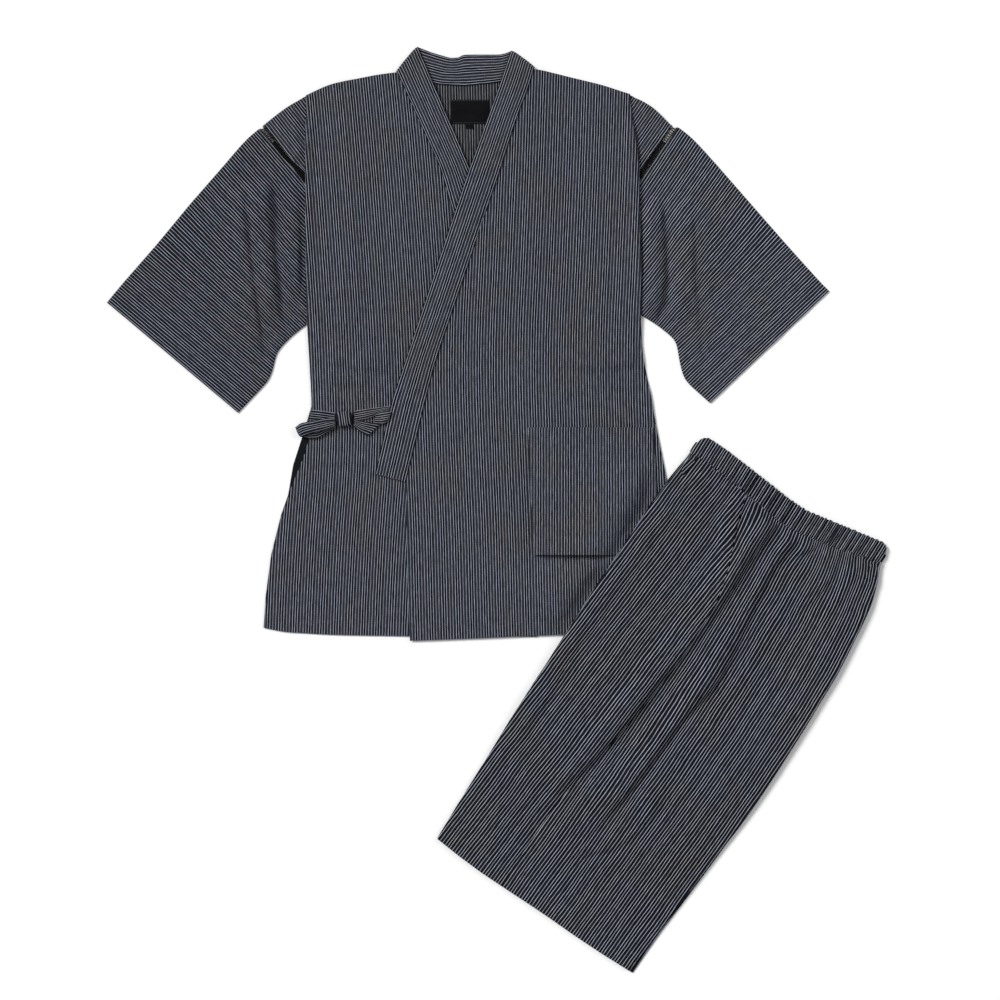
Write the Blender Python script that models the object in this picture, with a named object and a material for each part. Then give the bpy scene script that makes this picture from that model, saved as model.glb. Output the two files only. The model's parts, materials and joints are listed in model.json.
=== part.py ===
"""Jinbei set, laid flat and face up: a short cross-over jacket tied at the wearer's right side,
and knee-length shorts with an elastic waist, laid on their side over the jacket's lower corner.

Each piece of cloth is a grid of points through the middle of its layer, walled with Solidify.
Pieces are laid one after another: a piece rests on whatever lies under it, and the lowest ones
rest on z = 0. Tables are in millimetres; the meshes are in metres, +Z up.
Run it with: blender --background --python part.py
"""

import math

import bmesh
import bpy
import numpy as np
from mathutils import Vector
from mathutils.bvhtree import BVHTree

MM = 0.001

# ---------------------------------------------------------------- thicknesses
CLOTH = 1.0  # one layer of the puckered cotton
GAP = 0.3  # between pieces that touch
STEP = CLOTH + GAP  # from one laid layer to the next
COLLAR = 2.0  # the collar band, folded double over its seam
TIE = 1.6  # a tie, folded double
CASING = 3.0  # the waist casing, cloth and elastic together
LACE = 1.0
LABEL = 0.6
REACH = 26.0  # how far round a point a sheet feels what it lies on: the widest grid cell
REACH_RINGS = 4
SLOPE = 1.04  # how much thicker a sloping layer is, measured upwards

# ---------------------------------------------------------------- places
JACKET_AT = (-37.4, -180.0)  # the jacket's centre line and hem line in the set's frame
SHORTS_AT = (51.6, -540.3)  # the middle of the shorts' hem in the set's frame
SHORTS_TURN = math.radians(32.2)  # clockwise, seen from above

# ---------------------------------------------------------------- jacket
# Seen from above, x runs to the wearer's left from the centre back, and height runs from the
# lowest point of the hem to the neck. Right and left are the wearer's.
BODY_ROWS = (18, 60, 105, 150, 190, 225, 275, 323, 370, 410, 445, 490, 540, 590, 640, 690, 725, 748)
ARMPIT_ROW = 10  # the row of BODY_ROWS where the armhole pleat starts
PLEAT = 30.0  # depth of the pleat at the armhole
SHOULDER_END_SHARES = (0, 0.34, 0.56, 0.78, 1)  # columns of the shoulder end beyond the pleat
BACK_SHARES = (0, 0.07, 0.16, 0.28, 0.4, 0.5, 0.6, 0.72, 0.84, 0.93, 1)  # columns of the back
FRONT_COLUMNS = 10

# Both side edges of the back: right height, right x, left height, left x
BACK_SIDES = (
    (18, -281.5, 17.8, 302.8), (60, -279, 60, 296), (118, -271.3, 118, 287), (173, -257.6, 173, 278.3),
    (200, -248, 200, 274.1), (241, -241.1, 241, 267.2), (277, -229.5, 277, 259.9),
    (323, -215.6, 323, 251.7), (392, -219.2, 392, 238.4), (433, -221.9, 446, 235.3),
    (540, -222, 540, 231.7), (640, -222.1, 637, 230.3), (646, -227, 644, 233.5),
    (664, -246.9, 660, 245), (687.7, -266.6, 682, 259.6), (706.5, -281.5, 707.3, 276.1),
)
# (height, x)
RIGHT_FRONT_SIDE = (
    (18, -281.5), (49, -279.5), (118, -271.3), (145, -264.4), (172, -257.6), (189, -248),
    (222, -231.5), (250, -223.3), (275, -219.5), (323, -215.6), (392, -219.2), (433, -221.9),
    (748, -222),
)
LEFT_FRONT_SIDE = (
    (17.8, 302.8), (120, 286.7), (227.4, 269.9), (302.8, 254.8), (341.1, 249.3), (367, 240),
    (382, 241), (402.8, 236), (446.6, 235.6), (531.6, 232.9), (620.6, 231.5), (663, 229.7),
    (686, 225.8), (710, 222.6), (749.4, 219.6),
)
RIGHT_FRONT_EDGE = ((5.5, 94), (217.8, 94.2), (313.7, 75), (385, 54.5), (601.4, -5.8), (780.5, -87))
LEFT_FRONT_EDGE = (
    (0, -80.8), (92.5, -84.9), (217.8, -85.4), (236, -93), (313.7, -75.8), (385, -57.6),
    (616.8, 21.6), (714.5, 52.4), (783, 75),
)

# (x, height), from the wearer's right to left
BACK_HEM = (
    (-281.5, 18), (-253.2, 12.1), (-191.9, 8.4), (-81.7, 6.2), (0, 5.4), (134.3, 8.8), (302.8, 17.8),
)
BACK_TOP = (
    (-281.5, 706.5), (-263.7, 721), (-245, 734.3), (-222.2, 748), (-193.2, 761.7), (-128.8, 775),
    (-98.6, 776), (0, 771), (89.1, 778), (127.4, 775.4), (182.2, 761.7), (219.6, 749.4),
    (253.7, 730.2), (276.1, 707.3),
)
# (x, height), from the front edge to the side
RIGHT_HEM = ((94, 5.5), (-81.7, 6.2), (-191.9, 8.4), (-253.2, 12.1), (-281.5, 18))
LEFT_HEM = ((-80.8, 0), (15.1, 3.6), (134.3, 8.8), (302.8, 17.8))
RIGHT_SHOULDER = (
    (-87, 780.5), (-97.5, 779.3), (-128.8, 775.4), (-176.7, 765.8), (-193.2, 761.7), (-222, 748),
)
LEFT_SHOULDER = ((75, 783), (91, 784), (127.4, 775.4), (182.2, 761.7), (219.6, 749.4))

# The shoulder end beyond the pleat: (x, height) from under the pleat to the armhole
RIGHT_SHOULDER_END = ((-192, 752), (-222, 746.8), (-245, 734.3), (-263.7, 721), (-281.5, 706.5))
LEFT_SHOULDER_END = ((189.6, 753), (219.6, 748.2), (237, 740.3), (253.7, 730.2), (276.1, 707.3))
# Both lines of the armhole, with the ladder lace between them: (x, height), from armpit to shoulder
RIGHT_BODY_ARMHOLE = (
    (-205, 445), (-203, 500), (-203, 580), (-208, 618), (-224.4, 643.6), (-246.9, 664),
    (-266.6, 687.7), (-281.5, 706.5),
)
RIGHT_SLEEVE_ARMHOLE = (
    (-223.8, 434.5), (-213, 475), (-211, 530), (-213, 590), (-224.4, 624), (-242.9, 649.1),
    (-258.7, 665.7), (-274.4, 686.1), (-287, 701),
)
LEFT_BODY_ARMHOLE = (
    (214, 445), (212, 500), (212, 580), (217, 615), (232.1, 641.3), (247, 663),
    (262.5, 686), (276.1, 707.3),
)
LEFT_SLEEVE_ARMHOLE = (
    (237, 447.5), (223, 485), (220.5, 540), (222, 595), (231.3, 624.5), (246.2, 648.8),
    (261.9, 670.5), (276, 689), (286.5, 703),
)
# The sleeve's back layer stops at the back's edge
RIGHT_SLEEVE_BACK_END = (
    (-223.4, 434.2), (-223.3, 540), (-223.3, 618), (-227, 629), (-245, 651.5), (-262, 670), (-287, 701),
)
LEFT_SLEEVE_BACK_END = (
    (236.6, 446.6), (232.9, 540), (231.8, 620), (235.3, 628.5), (248, 647.3), (263.7, 669),
    (278, 688), (286.5, 703),
)
# Sleeve outlines: (x, height)
RIGHT_CUFF = ((-495.5, 463.2), (-317.3, 313.2))  # from the top fold to the underarm seam
LEFT_CUFF = ((492.9, 479), (331, 326.9))
RIGHT_SLEEVE_FOLD = (
    (-495.5, 463.2), (-475.4, 487.7), (-427.4, 542.5), (-382.2, 597.3), (-334.3, 652.1),
    (-311, 679.5), (-297.3, 693.2), (-287, 701),
)
LEFT_SLEEVE_FOLD = (
    (492.9, 479), (483.6, 487.7), (434.3, 542.5), (386.3, 597.3), (338.4, 652.1), (313.7, 679.5),
    (300, 693.2), (286.5, 703),
)
RIGHT_UNDERARM = (
    (-317.3, 313.2), (-274.1, 358.9), (-268.2, 379.5), (-265.2, 395.9), (-245.9, 416.5), (-222, 432.5),
)
LEFT_UNDERARM = (
    (331, 326.9), (296.7, 357.6), (290.9, 376.8), (285, 412.4), (258.2, 434.3), (236.2, 446),
)
SLEEVE_ROWS = (0, 0.12, 0.24, 0.36, 0.47, 0.56, 0.64, 0.71, 0.77, 0.825, 0.875, 0.925, 0.965, 1)

SLEEVE_EDGE_LIFT = 0.3  # room for the turn at the sleeve's fold and at its seam
CREASE_STEPS = 24  # points along a crease's line
# Sleeve creases, each a ridge along three points: points (x, height), rise, half width
RIGHT_SLEEVE_CREASES = (
    (((-294, 600), (-284, 520), (-268, 425)), 3.2, 15),
    (((-318, 610), (-308, 500), (-293, 405)), 2.4, 14),
    (((-252, 560), (-250, 500), (-246, 440)), 1.6, 12),
)
LEFT_SLEEVE_CREASES = (
    (((296, 620), (291, 520), (290, 420)), 3.4, 17),
    (((325, 560), (322, 480), (318, 400)), 1.6, 18),
    (((250, 590), (252, 520), (250, 470)), 1.8, 11),
)

# Collar band: a row for each station along the strip, from the right run's end over the back of
# the neck to the left run's end: free edge x, height; seam edge x, height
COLLAR_RIGHT = (
    (124.7, 228.8, 82.2, 217.8), (104.1, 327.4, 63, 313.7), (83.6, 405.5, 42.5, 392),
    (57, 490, 15, 478), (26, 583.6, -17.8, 570), (0.7, 648.6, -38, 646), (-22, 702, -60, 694),
    (-44, 753, -78, 734), (-69.9, 813.8, -98.6, 779.5),
)
COLLAR_NECK = (
    (-69.9, 813.8, -98.6, 779.5), (-50, 806, -70, 770), (-24.7, 798.7, -42, 763),
    (-14, 799.6, -20, 761.5), (-7.4, 803.6, -4, 761), (42.5, 803.5, 41.1, 765.8),
    (50, 805.3, 62, 772), (57.5, 808.3, 89.1, 785),
)
COLLAR_LEFT = (
    (57.5, 808.3, 89.1, 785), (42, 763, 82.2, 760.4), (27, 721, 64.4, 714.5), (0.7, 648.6, 41, 640),
    (-21.9, 580.9, 17, 569), (-55, 481, -13, 480), (-86.9, 385, -45.6, 385),
    (-106.2, 327.4, -63.8, 313.7), (-117.5, 277, -75.5, 264), (-128.2, 229.2, -86.9, 217.8),
)
COLLAR_PIECES = 2  # rows between two stations
COLLAR_REACH = 18.0

# Patch pocket, mouth first: left edge x, height; right edge x, height
POCKET_SIDES = (
    (80.6, 292.5, 252, 292.5), (82.6, 235, 256, 235), (85.8, 176, 260, 176), (88.9, 118, 264, 118),
)
POCKET_GAPE = (88, 210, 2.6)  # from x, to x, how far the mouth stands off
POCKET_ROWS = 7
POCKET_COLUMNS = 7

LABEL_BOX = (-25.5, 708.8, 26.9, 741.7)  # x, height; x, height
TAB_BOX = (-4.1, 702, 6.3, 708.5)

LACE_GAPS = 4  # openings at the shoulder end of each run
LACE_GAP = 6.0
LACE_RUNG = 2.0
LACE_BARS = (0.1, 0.28, 0.72, 0.9)  # edges of the two side bars, as shares of the armhole's width
LACE_RUNS = (94.0, 99.0)  # length along the shoulder's edge and along the sleeve's
LACE_BELOW = (0.44, 0.6, 0.76, 0.88, 1.0)  # rows of the closed part, as shares of those lengths

# ---------------------------------------------------------------- ties
STRAP_REACH = 7.0  # how far round a point a strap feels what it lies on
# Straps and ends as strips: upper edge x, height; lower edge x, height
SIDE_STRAP = ((-216.5, 316.5, -219, 303), (-199, 314.6, -200, 301), (-184.2, 312.6, -184.2, 299))
FRONT_STRAP = (
    (-157.2, 314.5, -157.2, 302), (-140, 317.6, -140, 305), (-121, 320, -123, 311),
    (-103, 322, -106, 316),
)
SHORT_END = ((-155.5, 301, -157.8, 296), (-141, 299, -150, 287.5), (-123.6, 296, -136.7, 282.2))
LONG_END = ((-127.5, 309.8, -130, 299.5), (-117, 312, -118, 298), (-106.6, 313.7, -111.8, 300.6))
# The loop, from the knot round its tip and back: upper edge x, height; lower edge x, height; lift
LOOP_OVER = (
    (-184.2, 305, -184.2, 294, 0.6), (-197, 304.8, -200, 288, 1.7), (-213, 301, -218, 284, 2.0),
    (-229, 297, -231, 281, 1.6), (-234.5, 293, -232, 279.5, 0.9),
)
LOOP_UNDER = (
    (-234.5, 293, -232, 279.5, 0.0), (-226, 292, -222, 277.5, 0.0), (-209, 293, -209, 279, 0.0),
    (-197, 296, -196, 286, 0.0), (-184.2, 300, -184.2, 292, 0.0),
)
KNOT_CENTRE = (-170.6, 304.2)
KNOT_SIZE = (21.0, 20.5, 8.0)
KNOT_TURN = math.radians(8)
KNOT_ROUND = 2.6  # radius of its edges
KNOT_PINCH = 0.1  # share by which its waist is narrower than its ends

# ---------------------------------------------------------------- shorts
# u runs across the leg to the seat side and v up the leg from the hem.
# v; front edge; outseam; seat edge of the upper leg; seat edge of the leg underneath
LEG_LINES = (
    (0, -159, -51, 158, 164), (64, -160, -50, 163.5, 167), (130, -160, -47, 170.5, 173),
    (195, -160, -37, 176.5, 178), (228, -160, -31, 180, 180), (261, -159, -25, 182.5, 182.5),
    (325, -158, -16, 184, 184), (391, -158, -8, 184.5, 184.5), (490, -155, -8, 182.5, 182.5),
    (544, -154, -20, 177, 177), (584, -153, -36, 172.5, 172.5), (620, -150, -47, 163, 163),
    (640, -148, -53, 153, 153),
)
# u; how far the hem and the casing's seam lie from v = 0 and v = 640
LEG_ENDS = (
    (-160, 5, -8), (-124, 1, -6), (-86, -2, -9), (-50, -3, -12), (0, -4, -18), (28, -5, -19),
    (69, -7, -12), (110, -8, -5), (170, -8, 1),
)
LEG_TOP = 640.0  # v of the casing's seam
LEG_ROWS = (
    0, 30, 70, 110, 150, 185, 215, 245, 270, 292, 312, 335, 365, 400, 440, 480, 515, 545, 570, 592,
    612, 628, 640,
)
UNDER_ROWS = (0, 40, 80, 120, 155, 190, 225, 260, 292, 325, 360, 400, 440, 480, 520, 560, 600, 640)
LEG_REACH = 30.0  # how far round a point the upper leg feels what it lies on
UNDER_REACH = 40.0  # the same for the leg underneath
LEG_TOP_RISE = (0.2, 1.0)  # how far above the casing's lower layer the upper leg's last two rows run
HEM_CURVE = 160.0  # v up to which the rows follow the hem's curve
# Shares of the way from the outseam to each edge
FRONT_SHARES = (0, 0.15, 0.32, 0.5, 0.72, 1)
SEAT_SHARES = (0, 0.08, 0.155, 0.225, 0.295, 0.37, 0.46, 0.58, 0.72, 0.86, 1)
UNDER_SHARES = (0, 0.33, 0.67, 1)
UNDER_COLUMNS = {True: 5, False: 7}  # columns of the leg underneath, on its front and its seat side
# The inner leg's seam, and above the fork the seams of the front and the seat: v, front, seat
INNER_LINES = (
    (-20, 6, 6), (185, 6, 6), (245, 2, 2), (270, -14, 20), (292, -52, 64), (312, -104, 120),
    (335, -136, 158), (365, -145, 171), (400, -146, 172), (640, -137, 142),
)
# Creases of the upper leg, each a ridge: points (u, v), rise, half width
LEG_CREASES = (
    (((-7, 620), (-13, 520), (-14, 420), (-36, 300), (-62, 150)), 3.4, 15),
    (((31, 610), (26, 500), (36, 400), (22, 290), (4, 150)), 3.0, 14),
    (((-70, 625), (-58, 590), (-42, 540)), 1.8, 12),
    (((92, 625), (97, 585), (88, 540)), 2.4, 13),
    (((64, 560), (70, 480), (74, 380)), 1.8, 14),
    (((-148, 540), (-150, 330), (-150, 120)), 1.6, 16),
)

# Waist casing: u and v of its top edge; the seam edge follows LEG_ENDS
CASING_TOP = ((-138, 668), (-107, 667), (-57, 662), (-2, 656), (28, 655), (69, 662), (104, 668), (141, 674))
CASING_SEAM_ENDS = (-149.5, 153.0)
CASING_MIDDLE_ENDS = (-148.5, 152.5)
CASING_SEAM = 1.0  # between the casing and the legs
GATHERS = 27
GATHER_RISE = 1.0
GATHER_SCALLOP = 1.3  # how far the top edge dips between two gathers
GATHER_FADE = 0.08  # share of the width over which the ripple dies out at each end
STEPS_PER_GATHER = 4

# ---------------------------------------------------------------- colours
# name: base colour (linear), roughness
FINISHES = {
    "striped cotton": ((0.062, 0.067, 0.085), 0.88),
    "striped cotton, inside": ((0.045, 0.049, 0.062), 0.9),
    "striped cotton, shorts": ((0.050, 0.055, 0.071), 0.88),
    "black lace": ((0.006, 0.006, 0.008), 0.8),
    "black label": ((0.010, 0.010, 0.012), 0.6),
}

laid = []  # what lies on the surface so far: a tree of the piece's middle, and half its thickness


# ---------------------------------------------------------------- curves and patches
def along(line, shares):
    """Points at these shares of a line's length; the line is a table of coordinates."""
    points = np.array(line, float)
    run = np.r_[0.0, np.cumsum(np.linalg.norm(np.diff(points, axis=0), axis=1))]
    at = np.asarray(shares, float) * run[-1]
    return np.column_stack([np.interp(at, run, points[:, k]) for k in range(points.shape[1])])


def length_of(line):
    return np.linalg.norm(np.diff(np.array(line, float), axis=0), axis=1).sum()


def up_edge(edge, shares):
    """Points (x, height) at these shares of an edge's height; the edge is (height, x) rows."""
    heights, xs = np.array(edge, float).T
    at = heights[0] + np.asarray(shares, float) * (heights[-1] - heights[0])
    return np.column_stack([np.interp(at, heights, xs), at])


def patch(start, end, first, last, ups, overs):
    """Grid between four edges: start and end along the rows, first and last up the columns."""
    up = np.asarray(ups, float)[:, None, None]
    over = np.asarray(overs, float)[None, :, None]
    between = (1 - up) * start[None] + up * end[None] + (1 - over) * first[:, None] + over * last[:, None]
    low = (1 - over) * start[0] + over * start[-1]
    high = (1 - over) * end[0] + over * end[-1]
    return between - (1 - up) * low - up * high


def even(count):
    return np.linspace(0.0, 1.0, count + 1)


def jacket(points):
    return np.asarray(points, float)[..., :2] + np.array(JACKET_AT)


def shorts(points):
    u, v = np.asarray(points, float)[..., 0], np.asarray(points, float)[..., 1]
    turn_x, turn_y = math.cos(SHORTS_TURN), math.sin(SHORTS_TURN)
    x = SHORTS_AT[0] + turn_x * u + turn_y * v
    y = SHORTS_AT[1] - turn_y * u + turn_x * v
    return np.stack([x, y], axis=-1)


def with_height(flat, height):
    height = np.broadcast_to(height, flat.shape[:-1])
    return np.concatenate([flat, height[..., None]], axis=-1)


def ridge(points, creases):
    """How far creases lift each point: a rounded ridge that fades towards its two ends."""
    lift = np.zeros(points.shape[:-1])
    for line, rise, half_width in creases:
        spine = along(line, even(CREASE_STEPS))
        away = np.linalg.norm(points[..., None, :] - spine, axis=-1)
        nearest = away.argmin(axis=-1)
        across = np.clip(away.min(axis=-1) / half_width, 0, 1)
        fade = np.sin(math.pi * np.clip(nearest / CREASE_STEPS + 0.06, 0, 1)) ** 0.5
        lift = np.maximum(lift, rise * fade * (0.5 + 0.5 * np.cos(math.pi * across)))
    return lift


# ---------------------------------------------------------------- laying
def grid_faces(rows, columns):
    corner = np.arange((rows - 1) * columns).reshape(rows - 1, columns)[:, :-1].ravel()
    return np.column_stack([corner, corner + 1, corner + columns + 1, corner + columns]).tolist()


def lay(grid, thickness):
    """Notes a sheet as lying there, for the pieces that come after it."""
    points = grid.reshape(-1, 3)
    faces = grid_faces(*grid.shape[:2])
    laid.append((BVHTree.FromPolygons([Vector(p) for p in points], faces), 0.5 * thickness))


def rest(flat, thickness, reach=REACH):
    """Middle height of a sheet whose points lie on what is laid already, or on the surface."""
    ways = [(0.0, 0.0)]
    for ring in range(1, REACH_RINGS + 1):
        radius = reach * ring / REACH_RINGS
        for turn in range(4 * ring):
            angle = math.pi * turn / (2 * ring)
            ways.append((radius * math.cos(angle), radius * math.sin(angle)))
    down = Vector((0, 0, -1))
    height = np.full(flat.shape[:-1], 0.5 * thickness)
    for place in np.ndindex(*flat.shape[:-1]):
        x, y = flat[place]
        for dx, dy in ways:
            for tree, half in laid:
                hit = tree.ray_cast(Vector((x + dx, y + dy, 100.0)), down)[0]
                if hit is not None:
                    height[place] = max(height[place], hit.z + SLOPE * half + GAP + 0.5 * thickness)
    return height


def soften(height, rounds):
    """Cloth bridges a step instead of dropping off it: raises low points towards their neighbours."""
    need = height.copy()
    for _ in range(rounds):
        ring = np.pad(height, 1, mode="edge")
        mean = (ring[:-2, 1:-1] + ring[2:, 1:-1] + ring[1:-1, :-2] + ring[1:-1, 2:]) / 4
        height = np.maximum(need, mean)
    return height


# ---------------------------------------------------------------- solids
def finish(name, finish_name):
    material = bpy.data.materials.new(name)
    material.use_nodes = True
    colour, roughness = FINISHES[finish_name]
    surface = material.node_tree.nodes["Principled BSDF"]
    surface.inputs["Base Color"].default_value = (*colour, 1.0)
    surface.inputs["Roughness"].default_value = roughness
    surface.inputs["Metallic"].default_value = 0.0
    material.diffuse_color = (*colour, 1.0)
    return material


def link(name, mesh, finish_name):
    piece = bpy.data.objects.new(name, mesh)
    bpy.context.scene.collection.objects.link(piece)
    mesh.materials.append(finish(name, finish_name))
    mesh.shade_smooth()
    mesh.set_sharp_from_angle(angle=math.radians(50))
    return piece


def sheet(name, grid, thickness, finish_name, keep=None, round_loop=False):
    """A wall of cloth through a grid of points; keep leaves faces out, round_loop closes the rows."""
    rows, columns = grid.shape[:2]
    form = bmesh.new()
    bmesh.ops.create_grid(form, x_segments=columns - 1, y_segments=rows - 1, size=1.0)
    form.verts.ensure_lookup_table()
    for vertex, point in zip(form.verts, grid.reshape(-1, 3)):
        vertex.co = Vector(point) * MM
    if keep is not None:
        form.faces.ensure_lookup_table()
        dropped = [face for face, kept in zip(form.faces, keep.ravel()) if not kept]
        bmesh.ops.delete(form, geom=dropped, context="FACES")
    if round_loop:
        bmesh.ops.remove_doubles(form, verts=form.verts, dist=1e-7)
    mesh = bpy.data.meshes.new(name)
    form.to_mesh(mesh)
    form.free()
    piece = link(name, mesh, finish_name)
    wall = piece.modifiers.new("Wall", "SOLIDIFY")
    wall.thickness = thickness * MM
    wall.offset = 0.0
    wall.use_even_offset = True
    wall.use_quality_normals = True
    return piece


def turn_over(edge_high, edge_low, outwards, steps=3):
    """Columns of points round a folded edge, from its upper line to its lower one."""
    middle = 0.5 * (edge_high + edge_low)
    half = 0.5 * (edge_high - edge_low)
    radius = np.abs(half[..., 2:])
    columns = []
    for step in range(1, steps + 1):
        angle = math.pi * step / (steps + 1)
        columns.append(middle + half * math.cos(angle) + outwards * radius * math.sin(angle))
    return np.stack(columns, axis=-2)


def crosswise(columns):
    """The same points as rows, for a fold at the end of a strip."""
    return np.swapaxes(columns, 0, 1)


# ---------------------------------------------------------------- jacket pieces
def make_back():
    sides = np.array(BACK_SIDES, float)
    right, left = sides[:, [1, 0]], sides[:, [3, 2]]
    shares = (right[:, 1] - right[0, 1]) / (right[-1, 1] - right[0, 1])
    overs = np.array(BACK_SHARES)
    flat = patch(along(BACK_HEM, overs), along(BACK_TOP, overs), right, left, shares, overs)
    grid = with_height(jacket(flat), 0.5 * CLOTH)
    sheet("jacket_back", grid, CLOTH, "striped cotton, inside")
    lay(grid, CLOTH)


def make_sleeve(name, cuff, fold, underarm, front_end, back_end, creases):
    front_end, back_end = np.array(front_end[::-1], float), np.array(back_end[::-1], float)
    overs = even(len(front_end) - 1)
    back_overs = even(len(back_end) - 1)
    front_under = along(underarm[:-1] + (tuple(front_end[-1]),), SLEEVE_ROWS)
    back_under = along(underarm[:-1] + (tuple(back_end[-1]),), SLEEVE_ROWS)
    top = along(fold, SLEEVE_ROWS)
    front = patch(along(cuff, overs), front_end, top, front_under, SLEEVE_ROWS, overs)
    back = patch(along(cuff, back_overs), back_end, top, back_under, SLEEVE_ROWS, back_overs)
    low = 0.5 * CLOTH
    lift = ridge(front, creases)
    lift[:, 0] = lift[:, -1] = SLEEVE_EDGE_LIFT
    upper = with_height(jacket(front), low + STEP + lift)
    under = with_height(jacket(back), low)
    seam_turn = turn_over(upper[:, -1], under[:, -1], square_off(upper[:, -1], upper[:, -2]))
    fold_turn = turn_over(under[:, 0], upper[:, 0], square_off(upper[:, 0], upper[:, 1]))
    loop = np.concatenate([upper, seam_turn, under[:, ::-1], fold_turn, upper[:, :1]], axis=1)
    sheet(name, loop, CLOTH, "striped cotton", round_loop=True)
    lay(upper, CLOTH)


def direction(steps):
    """Unit directions in the plane."""
    flat = steps * np.array([1.0, 1.0, 0.0])
    return flat / np.linalg.norm(flat, axis=-1, keepdims=True)


def square_off(edge, inner):
    """Unit directions in the plane, square to an edge's run and away from the line inside it."""
    run = np.gradient(edge, axis=0)
    side = np.stack([run[:, 1], -run[:, 0], np.zeros(len(run))], axis=-1)
    away = np.sum(side * (edge - inner), axis=-1, keepdims=True)
    return direction(side * np.sign(away))


def make_lace(name, body_line, sleeve_line):
    """The openwork strip: up the front of the armhole, over the shoulder and down the back."""
    pitch = (LACE_GAP + LACE_RUNG) / LACE_RUNS[1]
    rung = LACE_RUNG / LACE_RUNS[1]
    openings = [gap * pitch + start for gap in range(LACE_GAPS) for start in (0.0, rung)]
    down = np.array([*openings, LACE_GAPS * pitch, *LACE_BELOW])
    runs = []
    for line, run in zip((body_line, sleeve_line), LACE_RUNS):
        runs.append(along(line[::-1], down * run / length_of(line)))
    body, sleeve = runs
    bars = np.array(LACE_BARS)[None, :, None]
    flat = jacket((1 - bars) * body[:, None] + bars * sleeve[:, None])
    front = with_height(flat, 0.5 * CLOTH + STEP)
    back = with_height(flat[: len(down) - 1], 0.5 * CLOTH)
    outwards = direction(front[0] - front[1])
    over = crosswise(turn_over(front[0], back[0], outwards))
    strip = np.concatenate([front[::-1], over, back], axis=0)
    keep = np.ones((strip.shape[0] - 1, 3), bool)
    first = front.shape[0] - 1
    second = front.shape[0] + over.shape[0]
    for gap in range(LACE_GAPS):
        keep[first - 2 - 2 * gap, 1] = False
        keep[second + 1 + 2 * gap, 1] = False
    sheet(name, strip, LACE, "black lace", keep=keep)
    lay(front, LACE)


def make_label():
    for name, (x0, y0, x1, y1) in (("jacket_label", LABEL_BOX), ("jacket_size_tab", TAB_BOX)):
        corners = np.array([[(x0, y0), (x1, y0)], [(x0, y1), (x1, y1)]], float)
        flat = jacket(corners)
        grid = with_height(flat, rest(flat, LABEL, reach=0.0))
        sheet(name, grid, LABEL, "black label")
        lay(grid, LABEL)


def make_front(name, side, edge, side_line, hem, shoulder, shoulder_end, body_line):
    """A front: the panel, then at the armhole its pleat, and the shoulder end beyond the pleat.

    side is -1 on the wearer's right and +1 on the left."""
    heights = np.array(BODY_ROWS, float)
    ups = (heights - heights[0]) / (heights[-1] - heights[0])
    overs = even(FRONT_COLUMNS)
    hem, shoulder = along(hem, overs), along(shoulder, overs)
    flat = jacket(patch(hem, shoulder, up_edge(edge, ups), up_edge(side_line, ups), ups, overs))
    need = rest(flat, CLOTH)
    pleat_rows = slice(ARMPIT_ROW, None)
    base = 0.5 * CLOTH
    fold = flat[pleat_rows, -1]
    inner = fold - np.array([side * PLEAT, 0.0])
    inner[-1] = jacket(shoulder_end)[0]
    end_ups = (ups[pleat_rows] - ups[ARMPIT_ROW]) / (1 - ups[ARMPIT_ROW])
    arm = jacket(body_line)
    end_overs = np.array(SHOULDER_END_SHARES)
    top = jacket(along(shoulder_end, end_overs))
    bottom = (1 - end_overs)[:, None] * inner[0] + end_overs[:, None] * arm[0]
    shoulder_flat = patch(bottom, top, inner, arm, end_ups, end_overs)
    end_grid = with_height(shoulder_flat, base + STEP)
    under = with_height(np.stack([fold, inner], axis=1), base + 2 * STEP)
    folded_top = base + 3 * STEP
    reach_in = np.abs(flat[..., 0] - flat[:, -1:, 0])
    over_pleat = (reach_in < PLEAT + REACH) & (np.arange(len(ups))[:, None] >= ARMPIT_ROW)
    need = np.where(over_pleat, np.maximum(need, folded_top), need)
    height = soften(need, 5)
    main = with_height(flat, height)
    outwards = np.array([side, 0.0, 0.0])
    edge_turn = turn_over(main[pleat_rows, -1], under[:, 0], outwards)
    inner_turn = turn_over(under[:, 1], end_grid[:, 0], -outwards)
    pleat = np.concatenate([edge_turn, under, inner_turn, end_grid], axis=1)
    blank = np.repeat(main[:ARMPIT_ROW, -1:], pleat.shape[1], axis=1)
    grid = np.concatenate([main, np.concatenate([blank, pleat], axis=0)], axis=1)
    keep = np.ones((grid.shape[0] - 1, grid.shape[1] - 1), bool)
    keep[:ARMPIT_ROW, FRONT_COLUMNS:] = False
    sheet(name, grid, CLOTH, "striped cotton", keep=keep)
    lay(main, CLOTH)
    lay(end_grid, CLOTH)
    lay(under, CLOTH)


def stations(rows, pieces=COLLAR_PIECES):
    """Two edge lines through a strip's stations, as (free edge, middle, seam edge) columns."""
    rows = np.array(rows, float)
    at = np.linspace(0, len(rows) - 1, (len(rows) - 1) * pieces + 1)
    smooth = np.column_stack([np.interp(at, np.arange(len(rows)), rows[:, k]) for k in range(rows.shape[1])])
    free, seam = smooth[:, :2], smooth[:, 2:4]
    return np.stack([free, 0.5 * (free + seam), seam], axis=1), smooth


def collar_run(rows):
    flat = jacket(stations(rows)[0])
    grid = with_height(flat, soften(rest(flat, COLLAR, reach=COLLAR_REACH), 2))
    lay(grid, COLLAR)
    return grid


def make_collar(right, neck, left):
    right_turn = turn_over(right[-1], neck[0], direction(neck[0] - neck[1]))
    left_turn = turn_over(neck[-1], left[0], direction(neck[-1] - neck[-2]))
    grid = np.concatenate([right, crosswise(right_turn), neck, crosswise(left_turn), left], axis=0)
    sheet("jacket_collar", grid, COLLAR, "striped cotton")


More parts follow.
